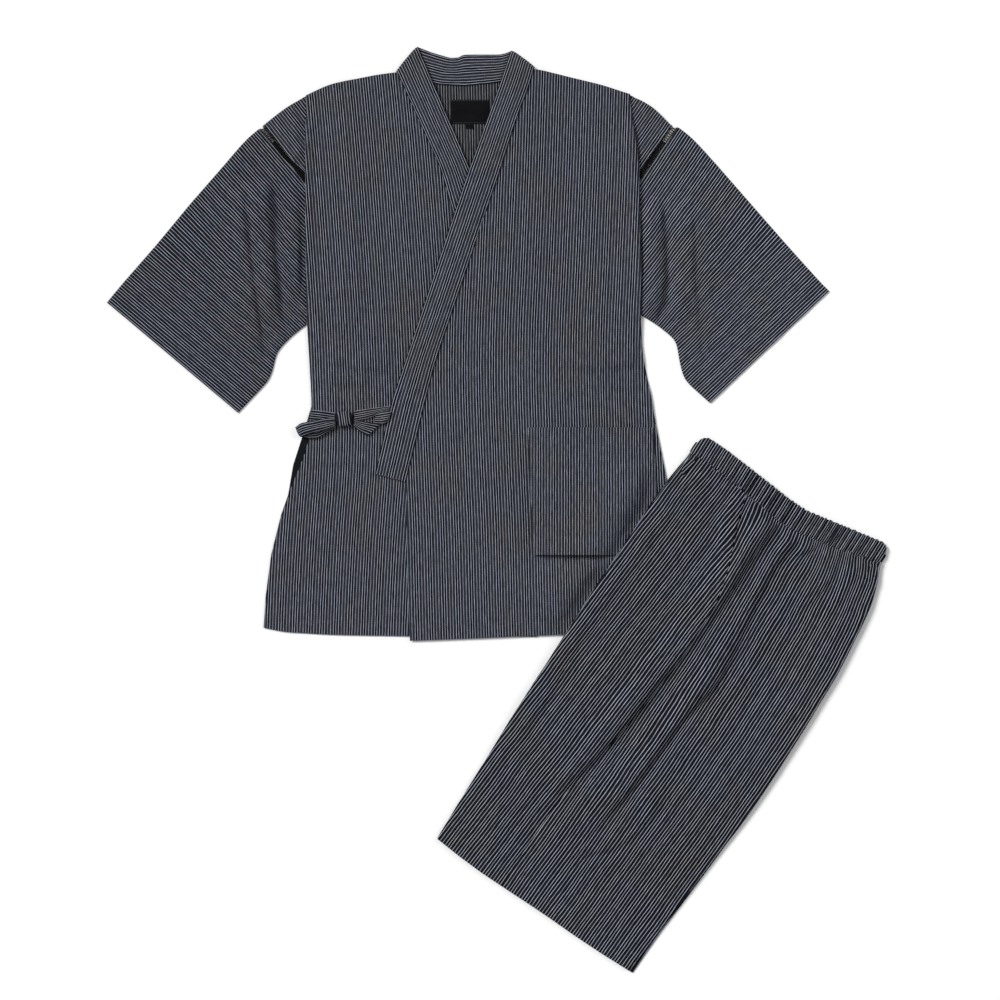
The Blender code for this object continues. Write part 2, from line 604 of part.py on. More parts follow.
def make_pocket():
    rows = np.array(POCKET_SIDES, float)
    at = np.linspace(0, len(rows) - 1, POCKET_ROWS + 1)
    sides = np.column_stack([np.interp(at, np.arange(len(rows)), rows[:, k]) for k in range(4)])
    over = even(POCKET_COLUMNS)[None, :, None]
    flat = jacket((1 - over) * sides[:, None, :2] + over * sides[:, None, 2:])
    height = soften(rest(flat, CLOTH), 3)
    x = flat[0, :, 0] - JACKET_AT[0]
    start, end, rise = POCKET_GAPE
    gape = np.sin(math.pi * np.clip((x - start) / (end - start), 0, 1))
    height[0] += rise * gape
    height[1] += 0.3 * rise * gape
    grid = with_height(flat, height)
    sheet("jacket_pocket", grid, CLOTH, "striped cotton")
    lay(grid, CLOTH)


# ---------------------------------------------------------------- ties
def strip(name, rows, thickness=TIE):
    columns, _ = stations(rows, pieces=2)
    flat = jacket(columns)
    grid = with_height(flat, soften(rest(flat, thickness, reach=STRAP_REACH), 1))
    sheet(name, grid, thickness, "striped cotton")
    lay(grid, thickness)


def make_loop():
    over, over_rows = stations(LOOP_OVER, pieces=2)
    under, _ = stations(LOOP_UNDER, pieces=2)
    low_flat, high_flat = jacket(under), jacket(over)
    low = with_height(low_flat, rest(low_flat, TIE, reach=STRAP_REACH).max())
    lift = over_rows[:, 4][:, None]
    high = with_height(high_flat, low[0, 0, 2] + TIE + GAP + lift)
    tip = turn_over(high[-1], low[0], direction(high[-1] - high[-2]))
    grid = np.concatenate([high, crosswise(tip), low], axis=0)
    sheet("tie_loop", grid, TIE, "striped cotton")
    lay(high, TIE)


def make_knot():
    """A pad with rounded corners: the tie wrapped once round the crossing."""
    centre = jacket(KNOT_CENTRE)
    bottom = rest(centre[None], 0.0, reach=0.5 * KNOT_SIZE[0]).max()
    form = bmesh.new()
    bmesh.ops.create_cube(form, size=1.0)
    size = Vector(KNOT_SIZE) * MM
    bmesh.ops.scale(form, verts=form.verts, vec=size)
    bmesh.ops.bevel(
        form, geom=form.edges, offset=KNOT_ROUND * MM, offset_type="OFFSET", affect="EDGES",
        segments=3, profile=0.5, material=-1,
    )
    waist = 0.5 * size.y
    for vertex in form.verts:
        vertex.co.x *= 1.0 - KNOT_PINCH * (1.0 - (vertex.co.y / waist) ** 2)
    mesh = bpy.data.meshes.new("tie_knot")
    form.to_mesh(mesh)
    form.free()
    piece = link("tie_knot", mesh, "striped cotton")
    piece.location = (centre[0] * MM, centre[1] * MM, bottom * MM + 0.5 * size.z)
    piece.rotation_euler = (0.0, 0.0, KNOT_TURN)


# ---------------------------------------------------------------- shorts pieces
def leg_line(column, v):
    table = np.array(LEG_LINES, float)
    return np.interp(v, table[:, 0], table[:, column])


def leg_flat(u, v):
    """Points of a leg panel, with the hem and the casing's seam on their own curves."""
    ends = np.array(LEG_ENDS, float)
    share = np.clip(v / LEG_TOP, 0, 1)
    hem = np.interp(u, ends[:, 0], ends[:, 1]) * np.clip(1 - v / HEM_CURVE, 0, 1)
    seam = (np.interp(u, ends[:, 0], ends[:, 2]) - GAP) * share**2
    return np.stack([u, v + hem + seam], axis=-1)


def leg_layers(front, upper):
    """The two layers of a leg panel: its outer face, and its return to the inner leg's seam."""
    v = np.array(LEG_ROWS if upper else UNDER_ROWS, float)[:, None]
    side = -1.0 if front else 1.0
    column = 1 if front else (3 if upper else 4)
    outseam = leg_line(2, v) + side * 0.5 * GAP
    edge = leg_line(column, v)
    inner = np.array(INNER_LINES, float)
    seam = np.interp(v, inner[:, 0], inner[:, 1 if front else 2]) + side * 0.5 * GAP
    shares = np.array(FRONT_SHARES if front else SEAT_SHARES) if upper else even(UNDER_COLUMNS[front])
    returns = np.array(UNDER_SHARES)[::-1]
    outer = leg_flat(outseam + (edge - outseam) * shares, np.broadcast_to(v, (len(v), len(shares))))
    back = leg_flat(edge + (seam - edge) * returns, np.broadcast_to(v, (len(v), len(returns))))
    return outer, back


def lay_pair(panels, reach, upper_face=False):
    """Lays the same layer of a leg's front and seat together, so that they meet at one height.

    Each panel's columns start at the seam where the two meet."""
    front, seat = panels
    leg = np.concatenate([front[:, ::-1], seat], axis=1)
    need = rest(shorts(leg), CLOTH, reach)
    lift = 0.0
    if upper_face:
        need[-2:] = np.maximum(need[-2:], CASING + np.array(LEG_TOP_RISE)[:, None])
        lift = ridge(leg, LEG_CREASES)
        lift[:, 0] = lift[:, -1] = 0.0
    grid = with_height(shorts(leg), soften(need, 3) + lift)
    columns = front.shape[1]
    pair = (grid[:, :columns][:, ::-1], grid[:, columns:])
    for layer in pair:
        lay(layer, CLOTH)
    return pair


def make_leg(leg, upper):
    """A leg's front and back panels, each with an outer layer and a return on the inner leg."""
    outer, inner = zip(leg_layers(True, upper), leg_layers(False, upper))
    if upper:
        low = lay_pair(inner, LEG_REACH)
        high = lay_pair(outer, LEG_REACH, upper_face=True)
    else:
        low = lay_pair(outer, UNDER_REACH)
        high = lay_pair(inner, UNDER_REACH)
    for panel, side, low_layer, high_layer in zip(("front", "back"), (-1.0, 1.0), low, high):
        outwards = np.array([side * math.cos(SHORTS_TURN), -side * math.sin(SHORTS_TURN), 0.0])
        turn = turn_over(high_layer[:, -1], low_layer[:, -1], outwards)
        grid = np.concatenate([high_layer, turn, low_layer[:, ::-1]], axis=1)
        sheet(f"shorts_{leg}_leg_{panel}", grid, CLOTH, "striped cotton, shorts")


def casing_row(row, shares, wave, height):
    """One row of the casing: 0 along the legs' seam, 1 through the middle, 2 along the top edge."""
    ends, top = np.array(LEG_ENDS, float), np.array(CASING_TOP, float)
    first, last = (CASING_SEAM_ENDS, CASING_MIDDLE_ENDS, (top[0, 0], top[-1, 0]))[row]
    u = first + (last - first) * shares
    seam = LEG_TOP + np.interp(u, ends[:, 0], ends[:, 2]) + CASING_SEAM
    crown = np.interp(u, top[:, 0], top[:, 1])
    scallop = GATHER_SCALLOP * 0.5 * (wave - 1) if row == 2 else 0.0
    v = seam + 0.5 * row * (crown - seam) + scallop
    return with_height(shorts(np.stack([u, v], axis=-1)), height)


def make_casing():
    """The gathered waist: a closed ring of casing laid flat, with a ripple for each gather."""
    steps = GATHERS * STEPS_PER_GATHER
    over_shares, under_shares = even(steps), even(steps // 2)[::-1]
    wave = np.cos(2 * math.pi * GATHERS * over_shares)
    fade = np.clip(np.minimum(over_shares, 1 - over_shares) / GATHER_FADE, 0, 1)
    high = 1.5 * CASING + GAP + GATHER_RISE * fade * (0.5 - 0.5 * wave)
    over = np.stack([casing_row(row, over_shares, wave, high) for row in range(3)])
    under = np.stack([casing_row(row, under_shares, 1.0, 0.5 * CASING) for row in range(3)])
    across = np.array([math.cos(SHORTS_TURN), -math.sin(SHORTS_TURN), 0.0])
    seat_turn = turn_over(over[:, -1], under[:, 0], across)
    front_turn = turn_over(under[:, -1], over[:, 0], -across)
    grid = np.concatenate([over, seat_turn, under, front_turn, over[:, :1]], axis=1)
    sheet("shorts_waistband", grid, CASING, "striped cotton, shorts", round_loop=True)


# ---------------------------------------------------------------- the set
def clear():
    for piece in list(bpy.data.objects):
        bpy.data.objects.remove(piece, do_unlink=True)


def main():
    clear()
    laid.clear()
    make_back()
    make_sleeve(
        "jacket_right_sleeve", RIGHT_CUFF, RIGHT_SLEEVE_FOLD, RIGHT_UNDERARM,
        RIGHT_SLEEVE_ARMHOLE, RIGHT_SLEEVE_BACK_END, RIGHT_SLEEVE_CREASES,
    )
    make_sleeve(
        "jacket_left_sleeve", LEFT_CUFF, LEFT_SLEEVE_FOLD, LEFT_UNDERARM,
        LEFT_SLEEVE_ARMHOLE, LEFT_SLEEVE_BACK_END, LEFT_SLEEVE_CREASES,
    )
    make_lace("jacket_right_lace", RIGHT_BODY_ARMHOLE, RIGHT_SLEEVE_ARMHOLE)
    make_lace("jacket_left_lace", LEFT_BODY_ARMHOLE, LEFT_SLEEVE_ARMHOLE)
    make_label()
    neck = collar_run(COLLAR_NECK)
    make_front(
        "jacket_right_front", -1, RIGHT_FRONT_EDGE, RIGHT_FRONT_SIDE, RIGHT_HEM,
        RIGHT_SHOULDER, RIGHT_SHOULDER_END, RIGHT_BODY_ARMHOLE,
    )
    collar_right = collar_run(COLLAR_RIGHT)
    make_front(
        "jacket_left_front", 1, LEFT_FRONT_EDGE, LEFT_FRONT_SIDE, LEFT_HEM,
        LEFT_SHOULDER, LEFT_SHOULDER_END, LEFT_BODY_ARMHOLE,
    )
    make_knot()
    strip("tie_front_strap", FRONT_STRAP)
    collar_left = collar_run(COLLAR_LEFT)
    make_collar(collar_right, neck, collar_left)
    make_pocket()
    strip("tie_side_strap", SIDE_STRAP)
    make_loop()
    strip("tie_short_end", SHORT_END)
    strip("tie_long_end", LONG_END)
    make_leg("right", upper=False)
    make_leg("left", upper=True)
    make_casing()


main()
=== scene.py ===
"""Jinbei set, laid flat: the cloth, lace, label, ties and stitching, and the stage they lie on.

Laid out as a Blender add-on with one operator for each group of pieces. Tables are in
millimetres: on the jacket x runs to the wearer's left from the centre back and height runs from
the lowest point of the hem; on the shorts u runs across the leg to the seat and v up from the hem.
"""

import json
import math

import bmesh
import bpy
import numpy as np
from bpy.props import FloatProperty, FloatVectorProperty, PointerProperty
from mathutils import Matrix, Vector, noise
from mathutils.bvhtree import BVHTree

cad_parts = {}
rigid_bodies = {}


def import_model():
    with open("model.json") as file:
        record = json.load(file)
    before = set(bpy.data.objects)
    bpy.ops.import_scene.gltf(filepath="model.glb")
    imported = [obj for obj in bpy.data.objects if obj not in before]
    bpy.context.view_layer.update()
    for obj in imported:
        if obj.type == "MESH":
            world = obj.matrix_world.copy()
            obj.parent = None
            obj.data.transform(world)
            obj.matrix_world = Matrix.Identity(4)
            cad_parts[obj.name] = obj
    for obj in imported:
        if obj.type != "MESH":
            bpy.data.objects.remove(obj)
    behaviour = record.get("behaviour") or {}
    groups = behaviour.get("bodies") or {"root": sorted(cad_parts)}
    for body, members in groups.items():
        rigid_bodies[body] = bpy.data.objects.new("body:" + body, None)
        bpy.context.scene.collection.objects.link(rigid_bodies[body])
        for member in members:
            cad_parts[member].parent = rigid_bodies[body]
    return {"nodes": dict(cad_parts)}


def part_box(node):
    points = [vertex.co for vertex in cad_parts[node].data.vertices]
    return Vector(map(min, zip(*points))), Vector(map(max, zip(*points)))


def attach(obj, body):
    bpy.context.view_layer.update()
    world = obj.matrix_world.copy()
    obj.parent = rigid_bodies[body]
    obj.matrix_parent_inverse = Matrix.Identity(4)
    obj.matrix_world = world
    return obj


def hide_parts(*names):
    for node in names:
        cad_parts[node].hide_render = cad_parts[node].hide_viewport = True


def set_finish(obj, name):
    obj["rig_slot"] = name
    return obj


bl_info = {
    "name": "Jinbei Set",
    "version": (1, 0, 0),
    "blender": (4, 5, 0),
    "location": "3D View > Sidebar > Jinbei",
    "description": "A short cross-over summer jacket with side ties, and matching shorts, laid flat",
    "category": "Object",
}

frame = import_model()

MM = 0.001
BODY = "root"
WEAVE = "Weave"  # the UV map: across the stripes and along them, in metres

# ---------------------------------------------------------------- places
JACKET_AT = (-37.4, -180.0)
SHORTS_AT = (51.6, -540.3)
SHORTS_TURN = math.radians(32.2)
SET_CENTRE = (5.1, 13.1)  # the middle of the view

# ---------------------------------------------------------------- thicknesses, as the frame has them
CLOTH = 1.0
GAP = 0.3
STEP = CLOTH + GAP
COLLAR = 2.0
TIE = 1.6
CASING = 3.0
LABEL = 0.6
# the shells made here for the pieces that are thicker or thinner than one layer of cloth
POCKET_SHELL = 0.9
TIE_SHELL = 1.3
LABEL_SHELL = 0.4

# ---------------------------------------------------------------- grids
CELL = 4.2  # width of a grid cell where the cloth shows
FOLDED_CELL = 2.7  # the same where deep folds cross it
HIDDEN_CELL = 9.0
NARROW_CELL = 2.2  # on the collar, the ties and the label
BACK_CELL = 0.75 * HIDDEN_CELL
POCKET_CELL = 3.4
LABEL_CELL = 1.6
# spans that set how many cells a piece gets: across it and, where it has its own, up it
BACK_SPANS = (580, 690)
SLEEVE_SPANS = (225, 250)
FRONT_SPAN = 340
SHOULDER_END_SPAN = 90
POCKET_SPANS = (172, 175)
LEG_SPANS = {True: 140, False: 190}  # of a leg's front and of its back
CLEAR = 0.12  # least gap between two layers
LINE_POINTS = 400
ROUNDING = 9.0  # how far from a corner an outline starts to round it
SHARP = math.radians(55)  # edges bent by more than this stay crisp
SMOOTHING = 5  # rounds of smoothing on a laid sheet
EDGE_RINGS = 3  # cells beside a covering piece where the relief dies out

# ---------------------------------------------------------------- jacket tables
PLEAT = 30.0
SHOULDER_SWELL = 4.2  # how far the shoulder end swells beside the pleat
ARMPIT = 445.0
BODY_HEIGHTS = (18.0, 748.0)
# right height, right x, left height, left x
BACK_SIDES = (
    (18, -281.5, 17.8, 302.8), (60, -279, 60, 296), (118, -271.3, 118, 287), (173, -257.6, 173, 278.3),
    (200, -248, 200, 274.1), (241, -241.1, 241, 267.2), (277, -229.5, 277, 259.9),
    (323, -215.6, 323, 251.7), (392, -219.2, 392, 238.4), (433, -221.9, 446, 235.3),
    (540, -222, 540, 231.7), (640, -222.1, 637, 230.3), (646, -227, 644, 233.5),
    (664, -246.9, 660, 245), (687.7, -266.6, 682, 259.6), (706.5, -281.5, 707.3, 276.1),
)
# heights of the right side slit, where painted shade shows on the back: its stripes are held at the dark
# ground
SLIT_FROM = 192.0
SLIT_TO = 300.0
# (height, x)
RIGHT_FRONT_SIDE = (
    (18, -281.5), (49, -279.5), (118, -271.3), (145, -264.4), (172, -257.6), (192, -249),
    (210, -244), (222, -239.5), (238, -232), (257, -225), (275, -219.5), (323, -215.6),
    (392, -219.2), (433, -221.9),
    (748, -222),
)
LEFT_FRONT_SIDE = (
    (17.8, 302.8), (120, 286.7), (227.4, 269.9), (302.8, 254.8), (341.1, 249.3), (367, 240),
    (382, 241), (402.8, 236), (446.6, 235.6), (531.6, 232.9), (620.6, 231.5), (663, 229.7),
    (686, 225.8), (710, 222.6), (749.4, 219.6),
)
RIGHT_FRONT_EDGE = ((5.5, 94), (217.8, 94.2), (313.7, 75), (385, 54.5), (601.4, -5.8), (780.5, -87))
LEFT_FRONT_EDGE = (
    (0, -80.8), (92.5, -84.9), (217.8, -85.4), (236, -93), (313.7, -75.8), (385, -57.6),
    (616.8, 21.6), (714.5, 52.4), (783, 75),
)
# (x, height)
BACK_HEM = (
    (-281.5, 18), (-253.2, 12.1), (-191.9, 8.4), (-81.7, 6.2), (0, 5.4), (134.3, 8.8), (302.8, 17.8),
)
BACK_TOP = (
    (-281.5, 706.5), (-263.7, 721), (-245, 734.3), (-222.2, 748), (-193.2, 761.7), (-128.8, 775),
    (-98.6, 776), (0, 771), (89.1, 778), (127.4, 775.4), (182.2, 761.7), (219.6, 749.4),
    (253.7, 730.2), (276.1, 707.3),
)
RIGHT_HEM = ((94, 5.5), (-81.7, 6.2), (-191.9, 8.4), (-253.2, 12.1), (-281.5, 18))
LEFT_HEM = ((-80.8, 0), (15.1, 3.6), (134.3, 8.8), (302.8, 17.8))
RIGHT_SHOULDER = (
    (-87, 780.5), (-97.5, 779.3), (-128.8, 775.4), (-176.7, 765.8), (-193.2, 761.7), (-222, 748),
)
LEFT_SHOULDER = ((75, 783), (91, 784), (127.4, 775.4), (182.2, 761.7), (219.6, 749.4))
RIGHT_SHOULDER_END = ((-192, 752), (-222, 746.8), (-245, 734.3), (-263.7, 721), (-281.5, 706.5))
LEFT_SHOULDER_END = ((189.6, 753), (219.6, 748.2), (237, 740.3), (253.7, 730.2), (276.1, 707.3))
RIGHT_BODY_ARMHOLE = (
    (-205, 445), (-203, 500), (-203, 580), (-208, 618), (-224.4, 643.6), (-246.9, 664),
    (-266.6, 687.7), (-281.5, 706.5),
)
RIGHT_SLEEVE_ARMHOLE = (
    (-223.8, 434.5), (-213, 475), (-211, 530), (-213, 590), (-224.4, 624), (-242.9, 649.1),
    (-258.7, 665.7), (-274.4, 686.1), (-287, 701),
)
LEFT_BODY_ARMHOLE = (
    (214, 445), (212, 500), (212, 580), (217, 615), (232.1, 641.3), (247, 663),
    (262.5, 686), (276.1, 707.3),
)
LEFT_SLEEVE_ARMHOLE = (
    (237, 447.5), (223, 485), (220.5, 540), (222, 595), (231.3, 624.5), (246.2, 648.8),
    (261.9, 670.5), (276, 689), (286.5, 703),
)
RIGHT_SLEEVE_BACK_END = (
    (-223.4, 434.2), (-223.3, 540), (-223.3, 618), (-227, 629), (-245, 651.5), (-262, 670), (-287, 701),
)
LEFT_SLEEVE_BACK_END = (
    (236.6, 446.6), (232.9, 540), (231.8, 620), (235.3, 628.5), (248, 647.3), (263.7, 669),
    (278, 688), (286.5, 703),
)
RIGHT_CUFF = ((-495.5, 463.2), (-317.3, 313.2))
LEFT_CUFF = ((492.9, 479), (331, 326.9))
RIGHT_SLEEVE_FOLD = (
    (-495.5, 463.2), (-475.4, 487.7), (-427.4, 542.5), (-382.2, 597.3), (-334.3, 652.1),
    (-311, 679.5), (-297.3, 693.2), (-287, 701),
)
LEFT_SLEEVE_FOLD = (
    (492.9, 479), (483.6, 487.7), (434.3, 542.5), (386.3, 597.3), (338.4, 652.1), (313.7, 679.5),
    (300, 693.2), (286.5, 703),
)
RIGHT_UNDERARM = (
    (-317.3, 313.2), (-274.1, 358.9), (-268.2, 379.5), (-265.2, 395.9), (-245.9, 416.5), (-222, 432.5),
)
LEFT_UNDERARM = (
    (331, 326.9), (296.7, 357.6), (290.9, 376.8), (285, 412.4), (258.2, 434.3), (236.2, 446),
)
SLEEVE_EDGE_LIFT = 0.3

# free edge x, height; seam edge x, height
COLLAR_RIGHT = (
    (124.7, 228.8, 82.2, 217.8), (104.1, 327.4, 63, 313.7), (83.6, 405.5, 42.5, 392),
    (57, 490, 15, 478), (26, 583.6, -17.8, 570), (0.7, 648.6, -38, 646), (-22, 702, -60, 694),
    (-44, 753, -78, 734), (-69.9, 813.8, -98.6, 779.5),
)
COLLAR_NECK = (
    (-69.9, 813.8, -98.6, 779.5), (-50, 806, -70, 770), (-24.7, 798.7, -42, 763),
    (-14, 799.6, -20, 761.5), (-7.4, 803.6, -4, 761), (42.5, 803.5, 41.1, 765.8),
    (50, 805.3, 62, 772), (57.5, 808.3, 89.1, 785),
)
COLLAR_LEFT = (
    (57.5, 808.3, 89.1, 785), (42, 763, 82.2, 760.4), (27, 721, 64.4, 714.5), (0.7, 648.6, 41, 640),
    (-21.9, 580.9, 17, 569), (-55, 481, -13, 480), (-86.9, 385, -45.6, 385),
    (-106.2, 327.4, -63.8, 313.7), (-117.5, 277, -75.5, 264), (-128.2, 229.2, -86.9, 217.8),
)
COLLAR_WIDTH = 41.3
COLLAR_SHELL = 1.0
COLLAR_LENGTHS = (620.0, 160.0, 610.0)  # right run, neck, left run
COLLAR_CROSSING = 690.0  # height below which the right run lies under the left one

# left edge x, height; right edge x, height
POCKET_SIDES = (
    (80.6, 292.5, 252, 292.5), (82.6, 235, 256, 235), (85.8, 176, 260, 176), (88.9, 118, 264, 118),
)

LABEL_BOX = (-25.5, 708.8, 26.9, 741.7)
TAB_BOX = (-4.1, 702, 6.3, 708.5)

LACE_GAPS = 4
LACE_GAP = 4.6
LACE_RUNG = 2.0
LACE_RUNS = (104.0, 109.0)
LACE_BARS = (0.12, 0.88)  # the two side cords, as shares of the armhole's width

# Ties: upper edge x, height; lower edge x, height
SIDE_STRAP = ((-216.5, 316.5, -219, 303), (-199, 314.6, -200, 301), (-184.2, 312.6, -184.2, 299))
FRONT_STRAP = (
    (-157.2, 314.5, -157.2, 302), (-140, 317.6, -140, 305), (-121, 320, -123, 311),
    (-103, 322, -106, 316),
)
SHORT_END = ((-155.5, 302, -158.5, 295), (-140, 300, -150, 287), (-122, 297.6, -138.4, 281.2))
LONG_END = ((-127.5, 309.8, -130, 299.5), (-117, 312, -118, 298), (-106.6, 313.7, -111.8, 300.6))
LOOP_OVER = (
    (-184.2, 305, -184.2, 294), (-197, 304.8, -200, 288), (-213, 301, -218, 284),
    (-230, 298.2, -226, 280.6), (-236.2, 293.5, -229.5, 279.6),
)
LOOP_UNDER = (
    (-236.2, 293.5, -229.5, 279.6), (-227, 291, -219, 277.4), (-209, 293, -207, 278.2),
    (-197, 296, -196, 284.4), (-184.2, 300, -184.2, 291),
)
KNOT_CENTRE = (-170.6, 304.2)
KNOT_SIZE = (21.0, 20.5, 8.0)
KNOT_TURN = math.radians(8)
TIE_RISE = 0.9  # how far the ties stand off the cloth below
STRAP_COLUMNS = 9
LOOP_COLUMNS = 11
LOOP_RUN = 52.0
LOOP_STRIPES = 19.0  # width of the stripes that the loop holds

# ---------------------------------------------------------------- shorts tables
# v; front edge; outseam; seat edge of the upper leg; seat edge of the leg underneath
LEG_LINES = (
    (0, -159, -51, 158, 164), (64, -160, -50, 163.5, 167), (130, -160, -47, 170.5, 173),
    (195, -160, -37, 176.5, 178), (228, -160, -31, 180, 180), (261, -159, -25, 182.5, 182.5),
    (325, -158, -16, 184, 184), (391, -158, -8, 184.5, 184.5), (490, -155, -8, 182.5, 182.5),
    (544, -154, -20, 177, 177), (584, -152.5, -36, 172.5, 172.5), (620, -148.5, -47, 163, 163),
    (640, -145.5, -53, 153, 153),
)
# u; how far the hem and the casing's seam lie from v = 0 and v = 640
LEG_ENDS = (
    (-160, 5, -8), (-124, 1, -6), (-86, -2, -9), (-50, -3, -12), (0, -4, -18), (28, -5, -19),
    (69, -7, -12), (110, -8, -5), (145, -8, 4), (170, -8, 6),
)
LEG_TOP = 640.0
HEM_CURVE = 160.0
# v, front, seat
INNER_LINES = (
    (-20, 6, 6), (185, 6, 6), (245, 2, 2), (270, -14, 20), (292, -52, 64), (312, -104, 120),
    (335, -136, 158), (365, -145, 171), (400, -146, 172), (640, -137, 142),
)
CASING_TOP = ((-147, 668.5), (-107, 667), (-57, 662), (-2, 656), (28, 655), (69, 662), (104, 668), (151, 676))
CASING_ENDS = (-147.0, 151.5)
CASING_SEAM = 1.0
SEAM_LAP = 5.0  # how far the legs reach into the casing
CASING_MEETS = (5.6, 4.3)  # height of the legs' cloth along the casing, at its front end and past it
GATHERS = 44
GATHER_DEPTH = 3.4
GATHER_STEPS = 10  # sections of cloth in each gather
CASING_SIDES = 20  # points round the casing
CASING_ROUND = 14.0
CASING_PACKED = 1.12  # how much closer its stripes lie than the legs'

# ---------------------------------------------------------------- where the stitches run
HEM = 18.0
WIDE_HEM = 22.0  # at the cuffs, the pocket's mouth and the shorts
POCKET_SEAM = 2.2
LABEL_SEAM = 1.3
COLLAR_SEAMS = (0.055, 0.945)  # as shares of the band's width
SHORTS_HEM = (-150, 152)  # u, from the front edge to the seat
HEM_POINTS = 90
OUTSEAM_BREAK = (-54, -48)  # where the hem's stitches pass from the front to the back panel

# ---------------------------------------------------------------- how the stripes run
# height; how far they lean, x for each unit of height
RIGHT_FRONT_LEAN = (
    (0, 0.03), (111, 0.052), (193, 0.085), (262, 0.031), (330, -0.03), (399, -0.04), (467, -0.062),
    (536, -0.072), (604, -0.075), (673, -0.09), (790, -0.1),
)
LEFT_FRONT_LEAN = (
    (0, -0.028), (111, -0.022), (193, -0.045), (320, -0.033), (385, 0.005), (467, 0.05), (536, 0.042),
    (604, 0.042), (714, 0.031), (790, 0.03),
)
SEAT_LEAN = (
    (-20, 0.06), (200, 0.06), (260, 0.045), (350, 0.03), (430, -0.01), (500, -0.02), (560, -0.05),
    (680, -0.06),
)
FRONT_LEG_LEAN = 0.087
SEAT_EDGE_FROM = 430.0  # v above which the seat's stripes follow its edge
# distance from the cuff; how many degrees the sleeve's stripes have turned from it
RIGHT_SLEEVE_TURN = ((0, 0), (90, 1), (170, 6), (290, 9))
LEFT_SLEEVE_TURN = ((0, 0), (90, 2), (170, 9), (290, 13))
SHOULDER_END_ANGLES = {-1: 52.0, 1: 125.0}  # clockwise from x
# stripe groups: where each light line lies in the repeat, and how light it is
STRIPE_REPEAT = 18.84
BAND_LINE = 5.4  # the light line that runs down the middle of the collar and the ties
SLIT_SHADE_YARN = 7.1 - 12 * STRIPE_REPEAT  # a place between stripes, held across the right side slit as painted shade
SHORTS_REPEAT = 21.2
LIGHT_LINES = ((2.0, 1.0), (5.4, 0.9), (8.8, 1.0), (12.8, 0.68), (16.8, 0.72))
LINE_HALF = 0.54  # half the width of a light line, to where it has faded out
LINE_CORE = 0.24  # share of that half that is fully light
DIM_FROM = 9.8  # where the repeat's dimmer half starts
DIM_GROUND = 0.032  # how pale the cloth is between the dimmer lines
EVENED = 0.6  # how far the dimmer lines catch up where the weft shows less

# yarns, in metres
TICK_PITCH = 0.0023  # between the pale ticks of weft
WEFT_PITCH = 0.0011
WARP_PITCH = 0.00085
RIB_PITCH = 0.0006  # of the label's satin
# scales of the noise that varies the yarns, across the stripes and along them, to the metre
WAVER = (240.0, 70.0)
PATCHES = (300.0, 85.0)
TICK_SHIFT = (420.0, 120.0)
SPECKS = (1300.0, 1500.0)
CRINKLE = (290.0, 520.0)
SATIN_YARNS = (300.0, 2600.0)
WAVER_DEPTH = 0.0011

# ---------------------------------------------------------------- creases
# points (x, height) or (u, v); rise, negative for a trough; half width; how high a trough's second
# side is; how far it pushes the stripes
RIGHT_SLEEVE_CREASES = (
    (((-269, 640), (-266, 560), (-261, 485), (-249, 428)), -9.0, 15, 0.08, 1.2),
    (((-231, 625), (-231, 540), (-230, 462)), -4.5, 6, 0.0, 0),
    (((-307, 634), (-300, 540), (-290, 473), (-282, 414), (-275, 372)), -5.8, 12, 0.5, 1.0),
    (((-244, 600), (-242, 530), (-238, 470)), 1.0, 10, 0, 0),
    (((-360, 560), (-352, 500), (-338, 430), (-322, 370)), -1.0, 16, 0.8, 0),
    (((-420, 500), (-395, 440), (-372, 400)), 0.7, 20, 0, 0),
)
LEFT_SLEEVE_CREASES = (
    (((262, 600), (269, 540), (270, 504), (265, 465), (254, 425)), -4.5, 30, 0.5, 0),
    (((266, 610), (272, 540), (273, 504), (268, 465), (256, 422)), -8.6, 15, 0.5, -1.2),
    (((309, 600), (312, 500), (319, 410), (324, 365)), -2.6, 12, 0.6, -0.8),
    (((345, 570), (348, 490), (352, 420)), 0.9, 18, 0, 0),
    (((400, 500), (392, 440), (380, 395)), -0.9, 18, 0.8, 0),
)
RIGHT_FRONT_CREASES = (
    (((-222, 728), (-222, 600), (-222, 452)), 2.6, 15, 0, 0),
    (((-208, 455), (-203, 405), (-200, 350)), 1.0, 8, 0, 0),
    (((-186, 440), (-184, 395), (-186, 355)), 0.7, 7, 0, 0),
    (((-205, 300), (-214, 250), (-232, 190)), 1.0, 12, 0, 0),
    (((-160, 285), (-172, 235), (-190, 170)), -0.7, 14, 0.7, 0),
    (((-120, 290), (-118, 230), (-110, 150)), 0.6, 20, 0, 0),
    (((-150, 690), (-160, 560), (-158, 430)), 0.6, 26, 0, 0),
    (((-80, 640), (-90, 520), (-100, 420)), 0.6, 24, 0, 0),
    (((-255, 150), (-262, 90), (-266, 40)), 0.7, 12, 0, 0),
    (((-106, 362), (-165, 371), (-205, 378)), -3.6, 14, 0.5, 0),
    (((-132, 349), (-180, 345), (-213, 352)), -2.8, 13, 0.5, 0),
    (((-140, 469), (-184, 466), (-214, 470)), -1.8, 13, 0.5, 0),
)
SHORTS_SHADE = (((276, 236), (200, 115), (118, -10)), -10.0, 36, 0.0, 0)
